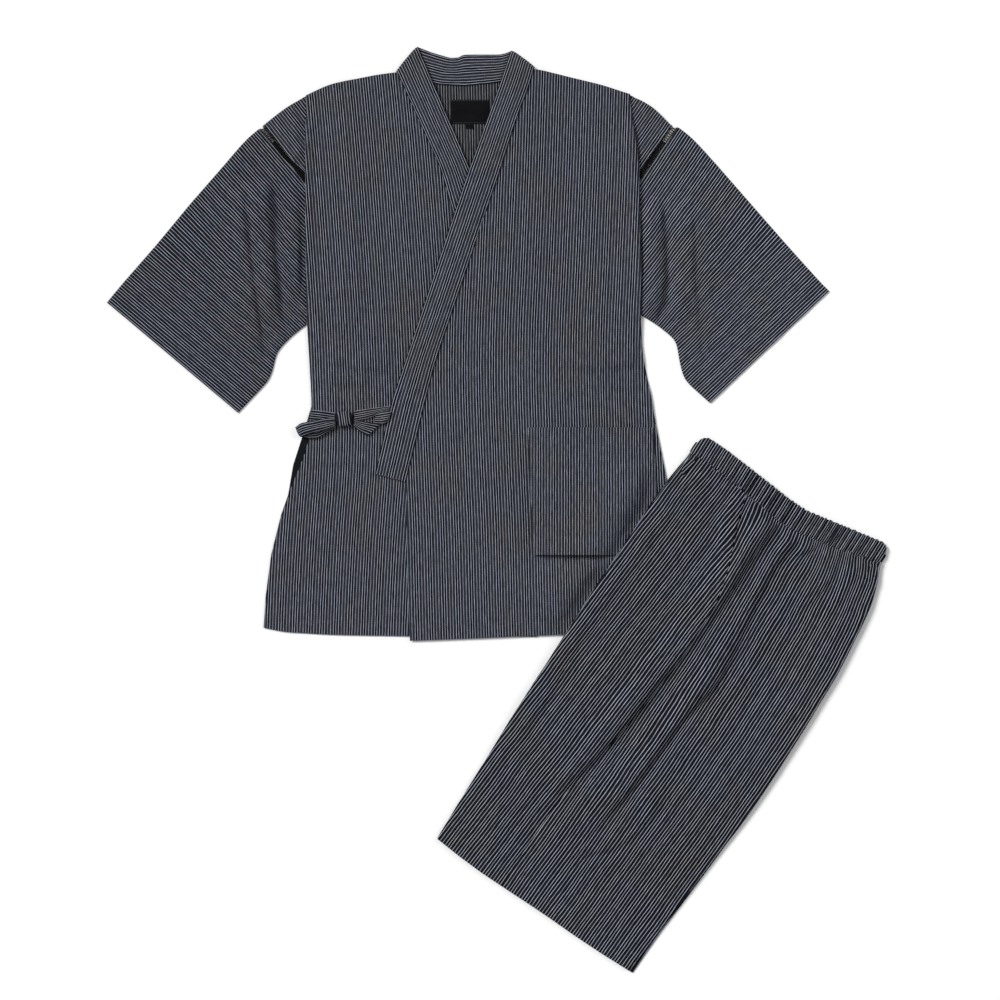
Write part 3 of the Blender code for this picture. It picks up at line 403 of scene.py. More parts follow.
LEFT_FRONT_CREASES = (
    (((221, 728), (231, 600), (235, 452)), 3.6, 18, 0, 0),
    (((226, 455), (222, 400), (219, 340)), 1.0, 10, 0, 0),
    (((204, 440), (200, 390), (198, 350)), 0.7, 8, 0, 0),
    (((238, 376), (190, 366), (120, 369)), -3.2, 14, 0.5, 0),
    (((160, 700), (168, 560), (170, 430)), 0.6, 28, 0, 0),
    (((90, 640), (86, 500), (80, 380)), 0.6, 30, 0, 0),
    (((-20, 210), (60, 200), (180, 208), (262, 220)), -0.7, 20, 0.8, 0),
    SHORTS_SHADE,
    (((236, 300), (180, 292), (120, 300)), -0.8, 10, 0.6, 0),
    (((-30, 160), (60, 152), (150, 158)), 0.5, 24, 0, 0),
    (((20, 330), (26, 250), (22, 120)), 0.5, 26, 0, 0),
    (((-60, 190), (-62, 120), (-58, 40)), 0.5, 16, 0, 0),
)
LEG_CREASES = (
    (((14, 640), (4, 596), (1, 560), (3, 500), (3, 440), (1, 405), (-14, 346), (-17, 300), (-21, 263),
      (-30, 212), (-40, 178), (-49, 140), (-53, 80)), -10.4, 18, 0.05, 2.0),
    (((47, 628), (35, 575), (43, 507), (47, 470), (53, 421), (54, 376), (41, 334), (38, 290), (34, 211),
      (22, 150), (15, 70)), -6.8, 14, 0.25, 1.4),
    (((-48, 640), (-42, 600), (-22, 548)), -4.2, 9, 0.5, 1.2),
    (((100, 644), (110, 600), (108, 560), (98, 530)), -4.0, 9, 0.5, 1.0),
    (((72, 644), (66, 612), (50, 590)), -3.6, 8, 0.6, 0.8),
    (((126, 632), (130, 590), (126, 540)), 1.2, 10, 0, 0),
    (((-116, 560), (-120, 500), (-126, 428), (-130, 373), (-132, 305), (-129, 247), (-123, 130)),
     -3.0, 20, 0.5, 0),
    (((-70, 420), (-80, 330), (-88, 230), (-90, 120)), 1.4, 16, 0, 0),
    (((4, 330), (0, 240), (-12, 150), (-16, 60)), 1.6, 12, 0, 0),
    (((60, 300), (56, 220), (48, 170)), 1.6, 12, 0, 0),
    (((26, 480), (30, 420), (22, 360)), 1.2, 9, 0, 0),
    (((78, 215), (74, 152), (57, 121), (26, 90), (-6, 60)), -2.8, 11, 0.5, 0),
    (((-98, 624), (-84, 560), (-72, 500)), 1.0, 14, 0, 0),
    (((78, 470), (86, 380), (84, 290)), 0.8, 20, 0, 0),
    (((128, 420), (132, 300), (124, 160)), 0.8, 22, 0, 0),
    (((-90, 200), (-96, 120), (-98, 40)), 0.6, 20, 0, 0),
)
# where in the noise each piece's own unevenness starts
SEEDS = {
    "label": 5.0, "loop": 8.0, "sleeve": 11.0, "front": 21.0, "back": 31.0, "shoulder end": 41.0,
    "pocket": 51.0, "fine pucker": 61.0, "broad pucker": 62.0, "pucker push": 63.0, "leg": 71.0,
}
UNEVEN = 0.3  # share by which a crease's depth wanders along it
STEEP = 0.44  # width of a trough's first side, as a share of its half width
LIP = 0.26  # how far that side rolls over the trough, as a share of its height
CREASE_END = 0.25  # share of a crease's length in which it dies out
SWELL_REACH = 2.4  # how far the cloth beside a trough stays raised, in half widths
PUSH_REACH = 2.6  # how far a crease pushes the stripes, in half widths


# ---------------------------------------------------------------- settings
def length_prop(name, description, default):
    return FloatProperty(
        name=name, description=description, default=default, subtype="DISTANCE", unit="LENGTH",
    )


def colour_prop(name, description, default):
    return FloatVectorProperty(
        name=name, description=description, default=default, subtype="COLOR", size=3, min=0.0, max=1.0,
    )


class JinbeiCloth(bpy.types.PropertyGroup):
    """The striped cotton."""

    ground: colour_prop("Ground", "Dark yarn between the stripes", (0.0042, 0.0052, 0.0100))
    light: colour_prop("Light line", "Pale yarn of the stripes", (0.355, 0.377, 0.446))
    warm: colour_prop("Warm yarn", "The same yarn where it looks warmer", (0.372, 0.368, 0.383))
    inside_ground: colour_prop("Inside ground", "Dark yarn on the inside face", (0.0062, 0.0068, 0.0085))
    inside_light: colour_prop("Inside light line", "Pale yarn on the inside face", (0.270, 0.275, 0.290))
    shell: length_prop("Shell", "Thickness of one layer of cloth", 0.0007)
    repeat: length_prop("Jacket repeat", "Width of one group of stripes on the jacket", STRIPE_REPEAT * MM)
    shorts_repeat: length_prop("Shorts repeat", "The same on the shorts", SHORTS_REPEAT * MM)
    pucker: length_prop("Pucker", "Depth of the crinkle in the cloth", 0.00035)


class JinbeiTrim(bpy.types.PropertyGroup):
    """Lace, label and thread."""

    lace: colour_prop("Lace", "Lace thread", (0.0022, 0.0022, 0.0028))
    label: colour_prop("Label", "Satin of the label", (0.0022, 0.0022, 0.0028))
    thread: colour_prop("Thread", "Sewing thread", (0.030, 0.033, 0.044))
    thread_radius: length_prop("Thread radius", "Half the thickness of the sewing thread", 0.00028)
    stitch: length_prop("Stitch", "Length of one stitch with its gap", 0.0034)


class JinbeiStage(bpy.types.PropertyGroup):
    """Floor, light and camera."""

    floor: colour_prop("Floor", "Colour of the floor", (0.93, 0.93, 0.93))
    floor_size: length_prop("Floor size", "Side of the floor", 12.0)
    fill: FloatProperty(name="Fill", description="Strength of the light from all round", default=0.42)
    key: FloatProperty(name="Key", description="Strength of the light from one side", default=3.1)
    second: FloatProperty(
        name="Second", description="Strength of the light from the other side", default=0.45,
    )
    key_angle: FloatProperty(
        name="Key size", description="How wide the key light looks", default=math.radians(24),
        subtype="ANGLE", unit="ROTATION",
    )
    lens: FloatProperty(name="Lens", description="Focal length in millimetres", default=100.0)
    height: length_prop("Camera height", "Height of the camera above the floor", 3.8096)


# ---------------------------------------------------------------- lines and patches
def eased(values, reach):
    """A moving mean down the first axis that leaves both ends where they are."""
    if reach < 1:
        return values
    head = 2 * values[:1] - values[reach:0:-1]
    tail = 2 * values[-1:] - values[-2 : -reach - 2 : -1]
    total = np.cumsum(np.concatenate([np.zeros_like(values[:1]), head, values, tail]), axis=0)
    window = 2 * reach + 1
    return (total[window:] - total[:-window]) / window


def rounded(points, run, rounding):
    at = np.linspace(run[0], run[-1], LINE_POINTS)
    dense = np.column_stack([np.interp(at, run, points[:, k]) for k in range(points.shape[1])])
    reach = int(round(rounding / (at[1] - at[0])))
    reach = min(reach, LINE_POINTS // 6)
    return at, eased(eased(dense, reach), reach)


def along(line, shares, rounding=ROUNDING):
    """Points at these shares of a line's length, with the line's corners rounded."""
    points = np.array(line, float)
    run = np.r_[0.0, np.cumsum(np.linalg.norm(np.diff(points, axis=0), axis=1))]
    at, dense = rounded(points, run, rounding)
    wanted = np.asarray(shares, float) * run[-1]
    return np.column_stack([np.interp(wanted, at, dense[:, k]) for k in range(dense.shape[1])])


def length_of(line):
    return np.linalg.norm(np.diff(np.array(line, float), axis=0), axis=1).sum()


def up_edge(edge, shares):
    """Points (x, height) at these shares of an edge's height; the edge is (height, x) rows."""
    rows = np.array(edge, float)
    at, dense = rounded(rows[:, 1:], rows[:, 0], ROUNDING)
    wanted = at[0] + np.asarray(shares, float) * (at[-1] - at[0])
    return np.column_stack([np.interp(wanted, at, dense[:, 0]), wanted])


def patch(start, end, first, last, ups, overs):
    """Grid between four edges: start and end along the rows, first and last up the columns."""
    up = np.asarray(ups, float)[:, None, None]
    over = np.asarray(overs, float)[None, :, None]
    between = (1 - up) * start[None] + up * end[None] + (1 - over) * first[:, None] + over * last[:, None]
    low = (1 - over) * start[0] + over * start[-1]
    high = (1 - over) * end[0] + over * end[-1]
    return between - (1 - up) * low - up * high


def even(count):
    return np.linspace(0.0, 1.0, int(count) + 1)


def cells(length, cell):
    return even(max(2, round(length / cell)))


def jacket(points):
    return np.asarray(points, float)[..., :2] + np.array(JACKET_AT)


def shorts(points):
    u, v = np.moveaxis(np.asarray(points, float)[..., :2], -1, 0)
    turn_x, turn_y = math.cos(SHORTS_TURN), math.sin(SHORTS_TURN)
    x, y = SHORTS_AT[0] + turn_x * u + turn_y * v, SHORTS_AT[1] - turn_y * u + turn_x * v
    return np.stack([x, y], axis=-1)


def with_height(flat, height):
    height = np.broadcast_to(height, flat.shape[:-1])
    return np.concatenate([flat, height[..., None]], axis=-1)


def direction(steps):
    flat = steps * np.array([1.0, 1.0, 0.0])
    return flat / np.linalg.norm(flat, axis=-1, keepdims=True)


def square_off(edge, inner):
    """Unit directions in the plane, square to an edge's run and away from the line inside it."""
    run = np.gradient(edge, axis=0)
    side = np.stack([run[:, 1], -run[:, 0], np.zeros(len(run))], axis=-1)
    return direction(side * np.sign(np.sum(side * (edge - inner), axis=-1, keepdims=True)))


def turn_over(edge_high, edge_low, outwards, steps=3):
    """Columns of points round a folded edge, from its upper line to its lower one."""
    middle = 0.5 * (edge_high + edge_low)
    half = 0.5 * (edge_high - edge_low)
    radius = np.abs(half[..., 2:])
    angles = [math.pi * step / (steps + 1) for step in range(1, steps + 1)]
    columns = [middle + half * math.cos(a) + outwards * radius * math.sin(a) for a in angles]
    return np.stack(columns, axis=-2)


def run_on(weave, edge, turn, sign):
    """The weave carried on round a turned edge, across the stripes."""
    path = np.concatenate([edge[:, None], turn], axis=1)
    gone = np.cumsum(np.linalg.norm(np.diff(path, axis=1), axis=-1), axis=1)
    along_it = np.broadcast_to(weave[:, None, 1], gone.shape)
    return np.stack([weave[:, None, 0] + sign * gone, along_it], axis=-1)


def crosswise(columns):
    return np.swapaxes(columns, 0, 1)


# ---------------------------------------------------------------- lying on the frame
HIGH = 0.05  # above and below everything, in metres
NEAR = 0.012


def tree_through(meshes):
    form = bmesh.new()
    for mesh in meshes:
        form.from_mesh(mesh)
    tree = BVHTree.FromBMesh(form)
    form.free()
    return tree


def tree_of(*names):
    return tree_through(frame["nodes"][name].data for name in names)


def seen(tree, flat, above=True):
    """Height of a node's surface seen from above or from below, in millimetres."""
    way = Vector((0.0, 0.0, -1.0 if above else 1.0))
    heights = np.empty(flat.shape[:-1])
    for place in np.ndindex(*heights.shape):
        x, y = flat[place] * MM
        hit = tree.ray_cast(Vector((x, y, HIGH if above else -HIGH)), way)[0]
        if hit is None:
            hit = tree.find_nearest(Vector((x, y, NEAR if above else 0.0)))[0]
        heights[place] = hit.z / MM
    return heights


def under(flat, heights):
    """Height of what lies under a sheet, whose lower face is at these heights."""
    beds = np.zeros(flat.shape[:-1])
    way = Vector((0.0, 0.0, -1.0))
    for place in np.ndindex(*beds.shape):
        x, y = flat[place] * MM
        hit = all_pieces.ray_cast(Vector((x, y, heights[place] * MM)), way)[0]
        beds[place] = 0.0 if hit is None else hit.z / MM
    return beds


all_pieces = tree_of(*frame["nodes"])


def ring_mean(values, rounds):
    for _ in range(rounds):
        ring = np.pad(values, 1, mode="edge")
        values = (
            ring[:-2, 1:-1] + ring[2:, 1:-1] + ring[1:-1, :-2] + ring[1:-1, 2:] + 2 * ring[1:-1, 1:-1]
        ) / 6
    return values


def worn_in(mask, rounds):
    """Shrinks a mask by so many cells and softens its edge."""
    for _ in range(rounds):
        ring = np.pad(mask, 1, mode="edge")
        mask = np.minimum.reduce(
            [ring[:-2, 1:-1], ring[2:, 1:-1], ring[1:-1, :-2], ring[1:-1, 2:], ring[1:-1, 1:-1]]
        )
    return ring_mean(mask, rounds)


def lay(tree, flat, relief, wall=CLOTH, shell=None, smoothing=SMOOTHING, top=None, form=None):
    """Middle height of a sheet on its solid's form, with its relief where nothing lies on it."""
    top = seen(tree, flat) if top is None else top
    thickness = shell or bpy.context.scene.jinbei_cloth.shell / MM
    covered = seen(all_pieces, flat) > top + 0.5 * STEP
    top = top if form is None else form
    open_share = worn_in(1.0 - covered, EDGE_RINGS)
    bed = under(flat, top - wall - 0.4 * GAP)
    height = ring_mean(top - 0.5 * wall, smoothing) + relief * open_share
    return np.maximum(height, bed + 0.5 * thickness + CLEAR)


def off_line(points, line):
    """Signed distance of points from a line, their share along it and the way across it."""
    spine = along(line, even(48), rounding=25.0)
    run = np.diff(spine, axis=0)
    size = np.linalg.norm(run, axis=1)
    away = points[..., None, :] - spine[:-1]
    share = np.clip((away * run).sum(-1) / size**2, 0, 1)
    rest = away - share[..., None] * run
    distance = np.linalg.norm(rest, axis=-1)
    nearest = distance.argmin(-1)
    chosen = nearest[..., None]
    rest = np.take_along_axis(rest, chosen[..., None], -2)[..., 0, :]
    turn = run[nearest, 0] * rest[..., 1] - run[nearest, 1] * rest[..., 0]
    along_it = np.r_[0.0, np.cumsum(size)][nearest]
    along_it += np.take_along_axis(share, chosen, -1)[..., 0] * size[nearest]
    side = np.where(turn < 0, -1.0, 1.0)
    across = np.stack([-run[nearest, 1], run[nearest, 0]], axis=-1) / size[nearest][..., None]
    return side * np.take_along_axis(distance, chosen, -1)[..., 0], along_it / size.sum(), across


def smooth_step(x):
    x = np.clip(x, 0.0, 1.0)
    return x * x * (3 - 2 * x)


def wander(points, wave_x, wave_y, seed):
    """Soft noise over a plan, about -1 to 1, with these wavelengths."""
    flat = points.reshape(-1, 2) / np.array([wave_x, wave_y])
    values = [noise.noise(Vector((x, y, seed))) for x, y in flat]
    return 1.6 * np.array(values).reshape(points.shape[:-1])


def crease(points, creases, seed, begin=0.14):
    """Height that creases add, how far they push the stripes aside, and how far they move the cloth.

    A ridge stands up along its line. A trough stays down along its line while the cloth beside it
    swells: high on its first side, where it rolls over the trough, lower and gently on its second.
    """
    lift, pushed = np.zeros(points.shape[:-1]), np.zeros(points.shape[:-1])
    moved = np.zeros(points.shape)
    for number, (line, rise, half_width, second, push) in enumerate(creases):
        distance, at, across = off_line(points, line)
        fade = smooth_step(at / begin) * smooth_step((1 - at) / CREASE_END)
        ups = fade * (1 + UNEVEN * np.sin(9.0 * at + 2.4 * number + seed) * np.sin(4.1 * at + seed))
        if rise > 0:
            profile = 0.5 + 0.5 * np.cos(math.pi * np.clip(np.abs(distance) / half_width, 0, 1))
        else:
            share = np.where(distance < 0, 1.0, second)
            wall = half_width * np.where(distance < 0, STEEP, 0.9)
            profile = share * (1 - np.exp(-((distance / wall) ** 2)))
            profile *= np.exp(-((distance / (SWELL_REACH * half_width)) ** 2))
            roll = LIP * abs(rise) * ups * np.sin(0.5 * math.pi * np.clip(-distance / wall, 0, 2)) ** 2
            moved += roll[..., None] * across
        lift += abs(rise) * ups * profile
        if push:
            pushed += push * fade * np.sin(math.pi * np.clip(distance / (PUSH_REACH * half_width), -1, 1))
    return lift, pushed, moved


def soft_ground(points, seed, strength=1.0):
    """Long shallow swells and small uneven dimples of cloth that lies loosely."""
    swell = 0.34 * wander(points, 85.0, 190.0, seed) + 0.16 * wander(points, 30.0, 64.0, seed + 7)
    return strength * (0.3 + swell + 0.07 * wander(points, 11.0, 17.0, seed + 3))


def edge_ease(shape, sides, drop, reach):
    """A gentle drop towards the chosen sides of a grid: first or last row or column."""
    rows, columns = shape
    total = np.zeros(shape)
    for side in sides:
        count = rows if side in ("start", "end") else columns
        at = np.arange(count) if side in ("start", "first") else np.arange(count)[::-1]
        fall = -drop * np.exp(-at / reach)
        total += fall[:, None] if side in ("start", "end") else fall[None, :]
    return total


# ---------------------------------------------------------------- stripes over a plan
def lean_of(table, heights):
    """How far the stripes have leaned over at each height."""
    rows = np.array(table, float)
    at = np.linspace(rows[0, 0], rows[-1, 0], LINE_POINTS)
    slope = np.interp(at, rows[:, 0], rows[:, 1])
    total = np.r_[0.0, np.cumsum(0.5 * (slope[1:] + slope[:-1]) * np.diff(at))]
    return np.interp(heights, at, total)


def upright_weave(points, table):
    x, h = points[..., 0], points[..., 1]
    return np.stack([x - lean_of(table, h), h], axis=-1)


def slanted_weave(points, angle):
    """Stripes that run at one angle, clockwise from x."""
    a = math.radians(angle)
    x, h = points[..., 0], points[..., 1]
    return np.stack([math.sin(a) * x + math.cos(a) * h, math.cos(a) * x - math.sin(a) * h], axis=-1)


def sleeve_weave(points, cuff, side, turns):
    """Stripes along the cuff, which turn a little towards the armhole."""
    top, low = np.array(cuff, float)
    length = np.linalg.norm(low - top)
    down = (low - top) / length
    up = np.array([down[1], -down[0]]) * side
    away = points - top
    out, run = away @ up, away @ down
    rows = np.array(turns, float)
    turn = np.radians(np.interp(out, rows[:, 0], rows[:, 1]))
    return np.stack([out + (run - 0.55 * length) * np.tan(turn), run], axis=-1)


def leg_weave(points, seat, shares=None):
    u, v = points[..., 0], points[..., 1]
    if not seat:
        return np.stack([u - FRONT_LEG_LEAN * v, v], axis=-1)
    middle = lean_of(SEAT_LEAN, v)
    start = lean_of(SEAT_LEAN, np.array([SEAT_EDGE_FROM]))[0]
    high = np.maximum(v, SEAT_EDGE_FROM)
    edge = np.where(v > SEAT_EDGE_FROM, start + leg_line(3, high) - leg_line(3, SEAT_EDGE_FROM), middle)
    weight = smooth_step((np.broadcast_to(shares, u.shape) - 0.35) / 0.65)
    return np.stack([u - (1 - weight) * middle - weight * edge, v], axis=-1)


def band_weave(columns, width):
    """Stripes along a band: columns are its points, across it from the free edge."""
    steps = np.linalg.norm(np.diff(columns[:, columns.shape[1] // 2, :2], axis=0), axis=1)
    run = np.r_[0.0, np.cumsum(steps)]
    across = (np.linspace(-0.5, 0.5, columns.shape[1]) * width + BAND_LINE)[None, :]
    return np.stack(np.broadcast_arrays(across, run[:, None]), axis=-1)


# ---------------------------------------------------------------- meshes
def link(name, mesh, material):
    piece = bpy.data.objects.new(name, mesh)
    bpy.context.scene.collection.objects.link(piece)
    mesh.materials.clear()
    mesh.materials.append(material)
    mesh.shade_smooth()
    mesh.set_sharp_from_angle(angle=SHARP)
    return piece


def grid_mesh(name, points, weave, keep=None, joins=False):
    """A mesh of quads through a grid of points, with the weave as its UV map."""
    rows, columns = points.shape[:2]
    form = bmesh.new()
    bmesh.ops.create_grid(form, x_segments=columns - 1, y_segments=rows - 1, size=1.0)
    mesh = bpy.data.meshes.new(name)
    form.to_mesh(mesh)
    form.clear()
    mesh.vertices.foreach_set("co", (points * MM).ravel())
    corners = np.empty(len(mesh.loops), int)
    mesh.loops.foreach_get("vertex_index", corners)
    layer = mesh.uv_layers.new(name=WEAVE)
    layer.uv.foreach_set("vector", (weave.reshape(-1, 2)[corners] * MM).ravel())
    form.from_mesh(mesh)
    if keep is not None:
        form.faces.ensure_lookup_table()
        dropped = [face for face, kept in zip(form.faces, keep.ravel()) if not kept]
        bmesh.ops.delete(form, geom=dropped, context="FACES")
    if joins:
        bmesh.ops.remove_doubles(form, verts=form.verts, dist=1e-7)
    form.to_mesh(mesh)
    form.free()
    return mesh


def mesh_of(form, name):
    mesh = bpy.data.meshes.new(name)
    form.to_mesh(mesh)
    form.free()
    return mesh


def faces_out(mesh, close=False):
    """Turns the faces outwards, after its open ends are filled where it has them."""
    form = bmesh.new()
    form.from_mesh(mesh)
    if close:
        bmesh.ops.holes_fill(form, edges=[edge for edge in form.edges if edge.is_boundary])
    bmesh.ops.recalc_face_normals(form, faces=form.faces)
    form.to_mesh(mesh)
    form.free()


def walled(name, mesh, thickness, material):
    """The mesh with both its faces and its edges, as one closed shell."""
    piece = link(name, mesh, material)
    wall = piece.modifiers.new("Wall", "SOLIDIFY")
    wall.thickness = thickness * MM
    wall.offset = 0.0
    wall.use_quality_normals = True
    shown = bpy.data.meshes.new_from_object(piece.evaluated_get(bpy.context.evaluated_depsgraph_get()))
    piece.modifiers.clear()
    piece.data = shown
    shown.name = name
    shown.set_sharp_from_angle(angle=SHARP)
    return piece


def cloth_sheet(name, points, weave, material, keep=None, joins=False, thickness=None):
    shell = bpy.context.scene.jinbei_cloth.shell / MM
    return walled(name, grid_mesh(name, points, weave, keep, joins), thickness or shell, material)


def thread_tube(form, path, radius, sides):
    """A round thread along a path of points in millimetres, closed at both ends."""
    path = np.asarray(path, float)
    run = np.gradient(path, axis=0)
    run /= np.linalg.norm(run, axis=1, keepdims=True)
    flat = np.cross(run, (0.0, 0.0, 1.0))
    flat /= np.maximum(np.linalg.norm(flat, axis=1, keepdims=True), 1e-9)
    rise = np.cross(flat, run)
    ring = None
    for centre, side, up in zip(path, flat, rise):
        angles = [2 * math.pi * k / sides for k in range(sides)]
        spots = [centre + radius * (math.cos(a) * side + math.sin(a) * up) for a in angles]
        new = [form.verts.new(Vector(spot * MM)) for spot in spots]
        new_edges = [form.edges.new((new[k], new[(k + 1) % sides])) for k in range(sides)]
        if ring is None:
            form.faces.new(new[::-1])
        else:
            bmesh.ops.bridge_loops(form, edges=ring + new_edges)
        ring = new_edges
        last = new
    form.faces.new(last)


def finished(piece, nodes, slot):
    """Rides the piece on the set, has it stand for its nodes and gives it its finish slot."""
    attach(piece, BODY)
    if nodes:
        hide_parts(*nodes)
    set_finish(piece, slot)
    return piece


# ---------------------------------------------------------------- materials
class Finish:
    """Builds the node tree of one material."""

    def __init__(self, name):
        self.material = bpy.data.materials.new(name)
        self.material.use_nodes = True
        self.tree = self.material.node_tree
        self.surface = self.tree.nodes["Principled BSDF"]

    def add(self, kind, inputs=(), **settings):
        node = self.tree.nodes.new(kind)
        for key, value in settings.items():
            setattr(node, key, value)
        for key, value in dict(inputs).items():
            self.feed(node.inputs[key], value)
        return node

    def feed(self, socket, value):
        if isinstance(value, bpy.types.NodeSocket):
            self.tree.links.new(value, socket)
        else:
            socket.default_value = value

    def math(self, operation, *values, clamp=False):
        node = self.add("ShaderNodeMath", operation=operation, use_clamp=clamp)
        for socket, value in zip(node.inputs, values):
            self.feed(socket, value)
        return node.outputs[0]

    def place(self, across, along_it):
        node = self.add("ShaderNodeCombineXYZ")
        self.feed(node.inputs[0], across)
        self.feed(node.inputs[1], along_it)
        return node.outputs[0]

    def noise(self, vector, scale=1.0, detail=2.0, roughness=0.5):
        inputs = {"Vector": vector, "Scale": scale, "Detail": detail, "Roughness": roughness}
        return self.add("ShaderNodeTexNoise", inputs).outputs["Fac"]

    def weave(self):
        """Where a place is across the stripes and along them, in metres."""
        uv = self.add("ShaderNodeUVMap", uv_map=WEAVE)
        parts = self.add("ShaderNodeSeparateXYZ", {0: uv.outputs[0]})
        return parts.outputs[0], parts.outputs[1]

    def fleck(self, across, run, scales, detail=2.0):
        """Noise with its own scale across the stripes and along them."""
        across = self.math("MULTIPLY", across, scales[0])
        run = self.math("MULTIPLY", run, scales[1])
        return self.noise(self.place(across, run), detail=detail)

    def spread(self, value, low, high, from_low=0.0, from_high=1.0):
        inputs = {
            "Value": value, "From Min": from_low, "From Max": from_high, "To Min": low, "To Max": high,
        }
        return self.add("ShaderNodeMapRange", inputs).outputs["Result"]

    def blend(self, share, low, high):
        node = self.add("ShaderNodeMix", data_type="RGBA")
        self.feed(node.inputs["Factor"], share)
        for key, value in (("A", low), ("B", high)):
            socket = next(s for s in node.inputs if s.name == key and s.type == "RGBA")
            self.feed(socket, value if isinstance(value, bpy.types.NodeSocket) else (*value, 1.0))
        return next(s for s in node.outputs if s.type == "RGBA")

    def ramp(self, value, stops):
        node = self.add("ShaderNodeValToRGB", {"Fac": value})
        elements = node.color_ramp.elements
        while len(elements) > 1:
            elements.remove(elements[-1])
        for number, (position, level) in enumerate(stops):
            element = elements[0] if number == 0 else elements.new(position)
            element.position = position
            element.color = (level, level, level, 1.0)
        return node.outputs["Color"]

    def bump(self, height, distance, strength=1.0):
        node = self.add("ShaderNodeBump", {"Height": height, "Distance": distance, "Strength": strength})
        self.feed(self.surface.inputs["Normal"], node.outputs["Normal"])

    def set(self, **values):
        for key, value in values.items():
            self.feed(self.surface.inputs[key.replace("_", " ")], value)


def stripe_stops(weft):
    """The light lines of one repeat as stops of a ramp, from 0 to 1 across the repeat."""
    dim = weft * DIM_GROUND
    stops = [(0.0, dim)]
    for centre, level in LIGHT_LINES:
        ground = dim if centre > DIM_FROM else 0.0
        level += EVENED * (1 - weft) * (1 - level)
        for offset, value in ((-1, ground), (-LINE_CORE, level), (LINE_CORE, level), (1, ground)):
            stops.append(((centre + offset * LINE_HALF) / STRIPE_REPEAT, value))
    stops.append((1.0, dim))
    return stops


def striped_cotton(name, ground, light, warm, repeat, weft):
    """Dark cotton with groups of thin light lines, crinkled; weft: how pale it is between them."""
    cloth = bpy.context.scene.jinbei_cloth
    f = Finish(name)
    across, run = f.weave()
    waver = f.fleck(across, run, WAVER)
    bent = f.math("ADD", across, f.math("MULTIPLY", f.math("SUBTRACT", waver, 0.5), WAVER_DEPTH))
    phase = f.math("FRACT", f.math("DIVIDE", bent, repeat))
    lines = f.ramp(phase, stripe_stops(weft))
    dim = f.ramp(phase, [(0.0, 1.0), (0.03, 0.0), (0.52, 0.0), (0.56, 1.0), (1.0, 1.0)])
    # each line is lighter in some places than in others
    patchy = f.fleck(across, run, PATCHES, 3.0)
    lines = f.math("MULTIPLY", lines, f.spread(patchy, 0.62, 1.38, 0.25, 0.75))
    # ticks of pale weft between the dimmer lines
    tick_run = f.math("MULTIPLY", run, 2 * math.pi / TICK_PITCH)
    shift = f.fleck(across, run, TICK_SHIFT)
    ticks = f.math("SINE", f.math("ADD", tick_run, f.math("MULTIPLY", shift, 16.0)))
    ticks = f.math("MULTIPLY", f.spread(ticks, 0.0, 0.07 * weft, 0.1, 1.0), dim)
    speck = f.fleck(across, run, SPECKS, 1.0)
    level = f.math("ADD", f.math("ADD", lines, ticks), f.spread(speck, -0.01, 0.01, 0.3, 0.7), clamp=True)
    position = f.add("ShaderNodeTexCoord").outputs["Object"]
    tint = f.spread(f.noise(position, 13.0, 2.0), 0.0, 1.0, 0.45, 0.72)
    pale = f.blend(tint, light, warm)
    cloudy = f.spread(f.noise(position, 7.0, 2.0), 0.0, 1.0, 0.35, 0.7)
    shade = f.blend(cloudy, ground, scaled(ground, 1.35))
    f.set(Base_Color=f.blend(level, shade, pale))
    f.set(Roughness=f.spread(speck, 0.78, 0.96))
    f.set(**{"Specular IOR Level": 0.03, "Sheen Weight": 0.008, "Sheen Roughness": 0.4})
    f.set(**{"Sheen Tint": (0.75, 0.8, 1.0, 1.0)})
    crinkle = f.fleck(across, run, CRINKLE, 3.0)
    weft_yarn = f.math("SINE", f.math("MULTIPLY", run, 2 * math.pi / WEFT_PITCH))
    warp_yarn = f.math("SINE", f.math("MULTIPLY", across, 2 * math.pi / WARP_PITCH))
    weave_height = f.math("MULTIPLY", f.math("MULTIPLY", weft_yarn, warp_yarn), 0.09)
    height = f.math("ADD", f.math("MULTIPLY", crinkle, 0.8), f.math("MULTIPLY", lines, 0.3))
    f.bump(f.math("ADD", height, weave_height), cloth.pucker, 0.8)
    return f.material


def scaled(colour, share):
    return tuple(share * channel for channel in colour)


def cotton(name, ground, light, warm, repeat, weft=1.0):
    return bpy.data.materials.get(name) or striped_cotton(name, ground, light, warm, repeat, weft)


def jacket_cotton():
    cloth = bpy.context.scene.jinbei_cloth
    return cotton("striped_cotton", cloth.ground, cloth.light, cloth.warm, cloth.repeat)


def inside_cotton():
    cloth = bpy.context.scene.jinbei_cloth
    ground, light = cloth.inside_ground, cloth.inside_light
    return cotton("striped_cotton_inside", ground, light, light, cloth.repeat)


def tie_cotton():
    cloth = bpy.context.scene.jinbei_cloth
    return cotton("striped_cotton_ties", cloth.ground, cloth.light, cloth.warm, cloth.repeat, 0.3)


def sleeve_cotton(side):
    """The jacket's cotton on the sleeves, with painted light: lit and shaded copies of one cloth, paler on
    the left sleeve and darker on the right.
    """
    cloth = bpy.context.scene.jinbei_cloth
    # painted light: the left sleeve's pale yarn is made lighter and the right sleeve's darker
    name, share = ("left", 1.12) if side > 0 else ("right", 0.93)
    light, warm = scaled(cloth.light, share), scaled(cloth.warm, share)
    return cotton(f"striped_cotton_{name}_sleeve", cloth.ground, light, warm, cloth.repeat, 0.4)


def shorts_cotton():
    cloth = bpy.context.scene.jinbei_cloth
    ground, light, warm = scaled(cloth.ground, 0.6), scaled(cloth.light, 1.02), scaled(cloth.warm, 1.02)
    return cotton("striped_cotton_shorts", ground, light, warm, cloth.shorts_repeat, 0.25)


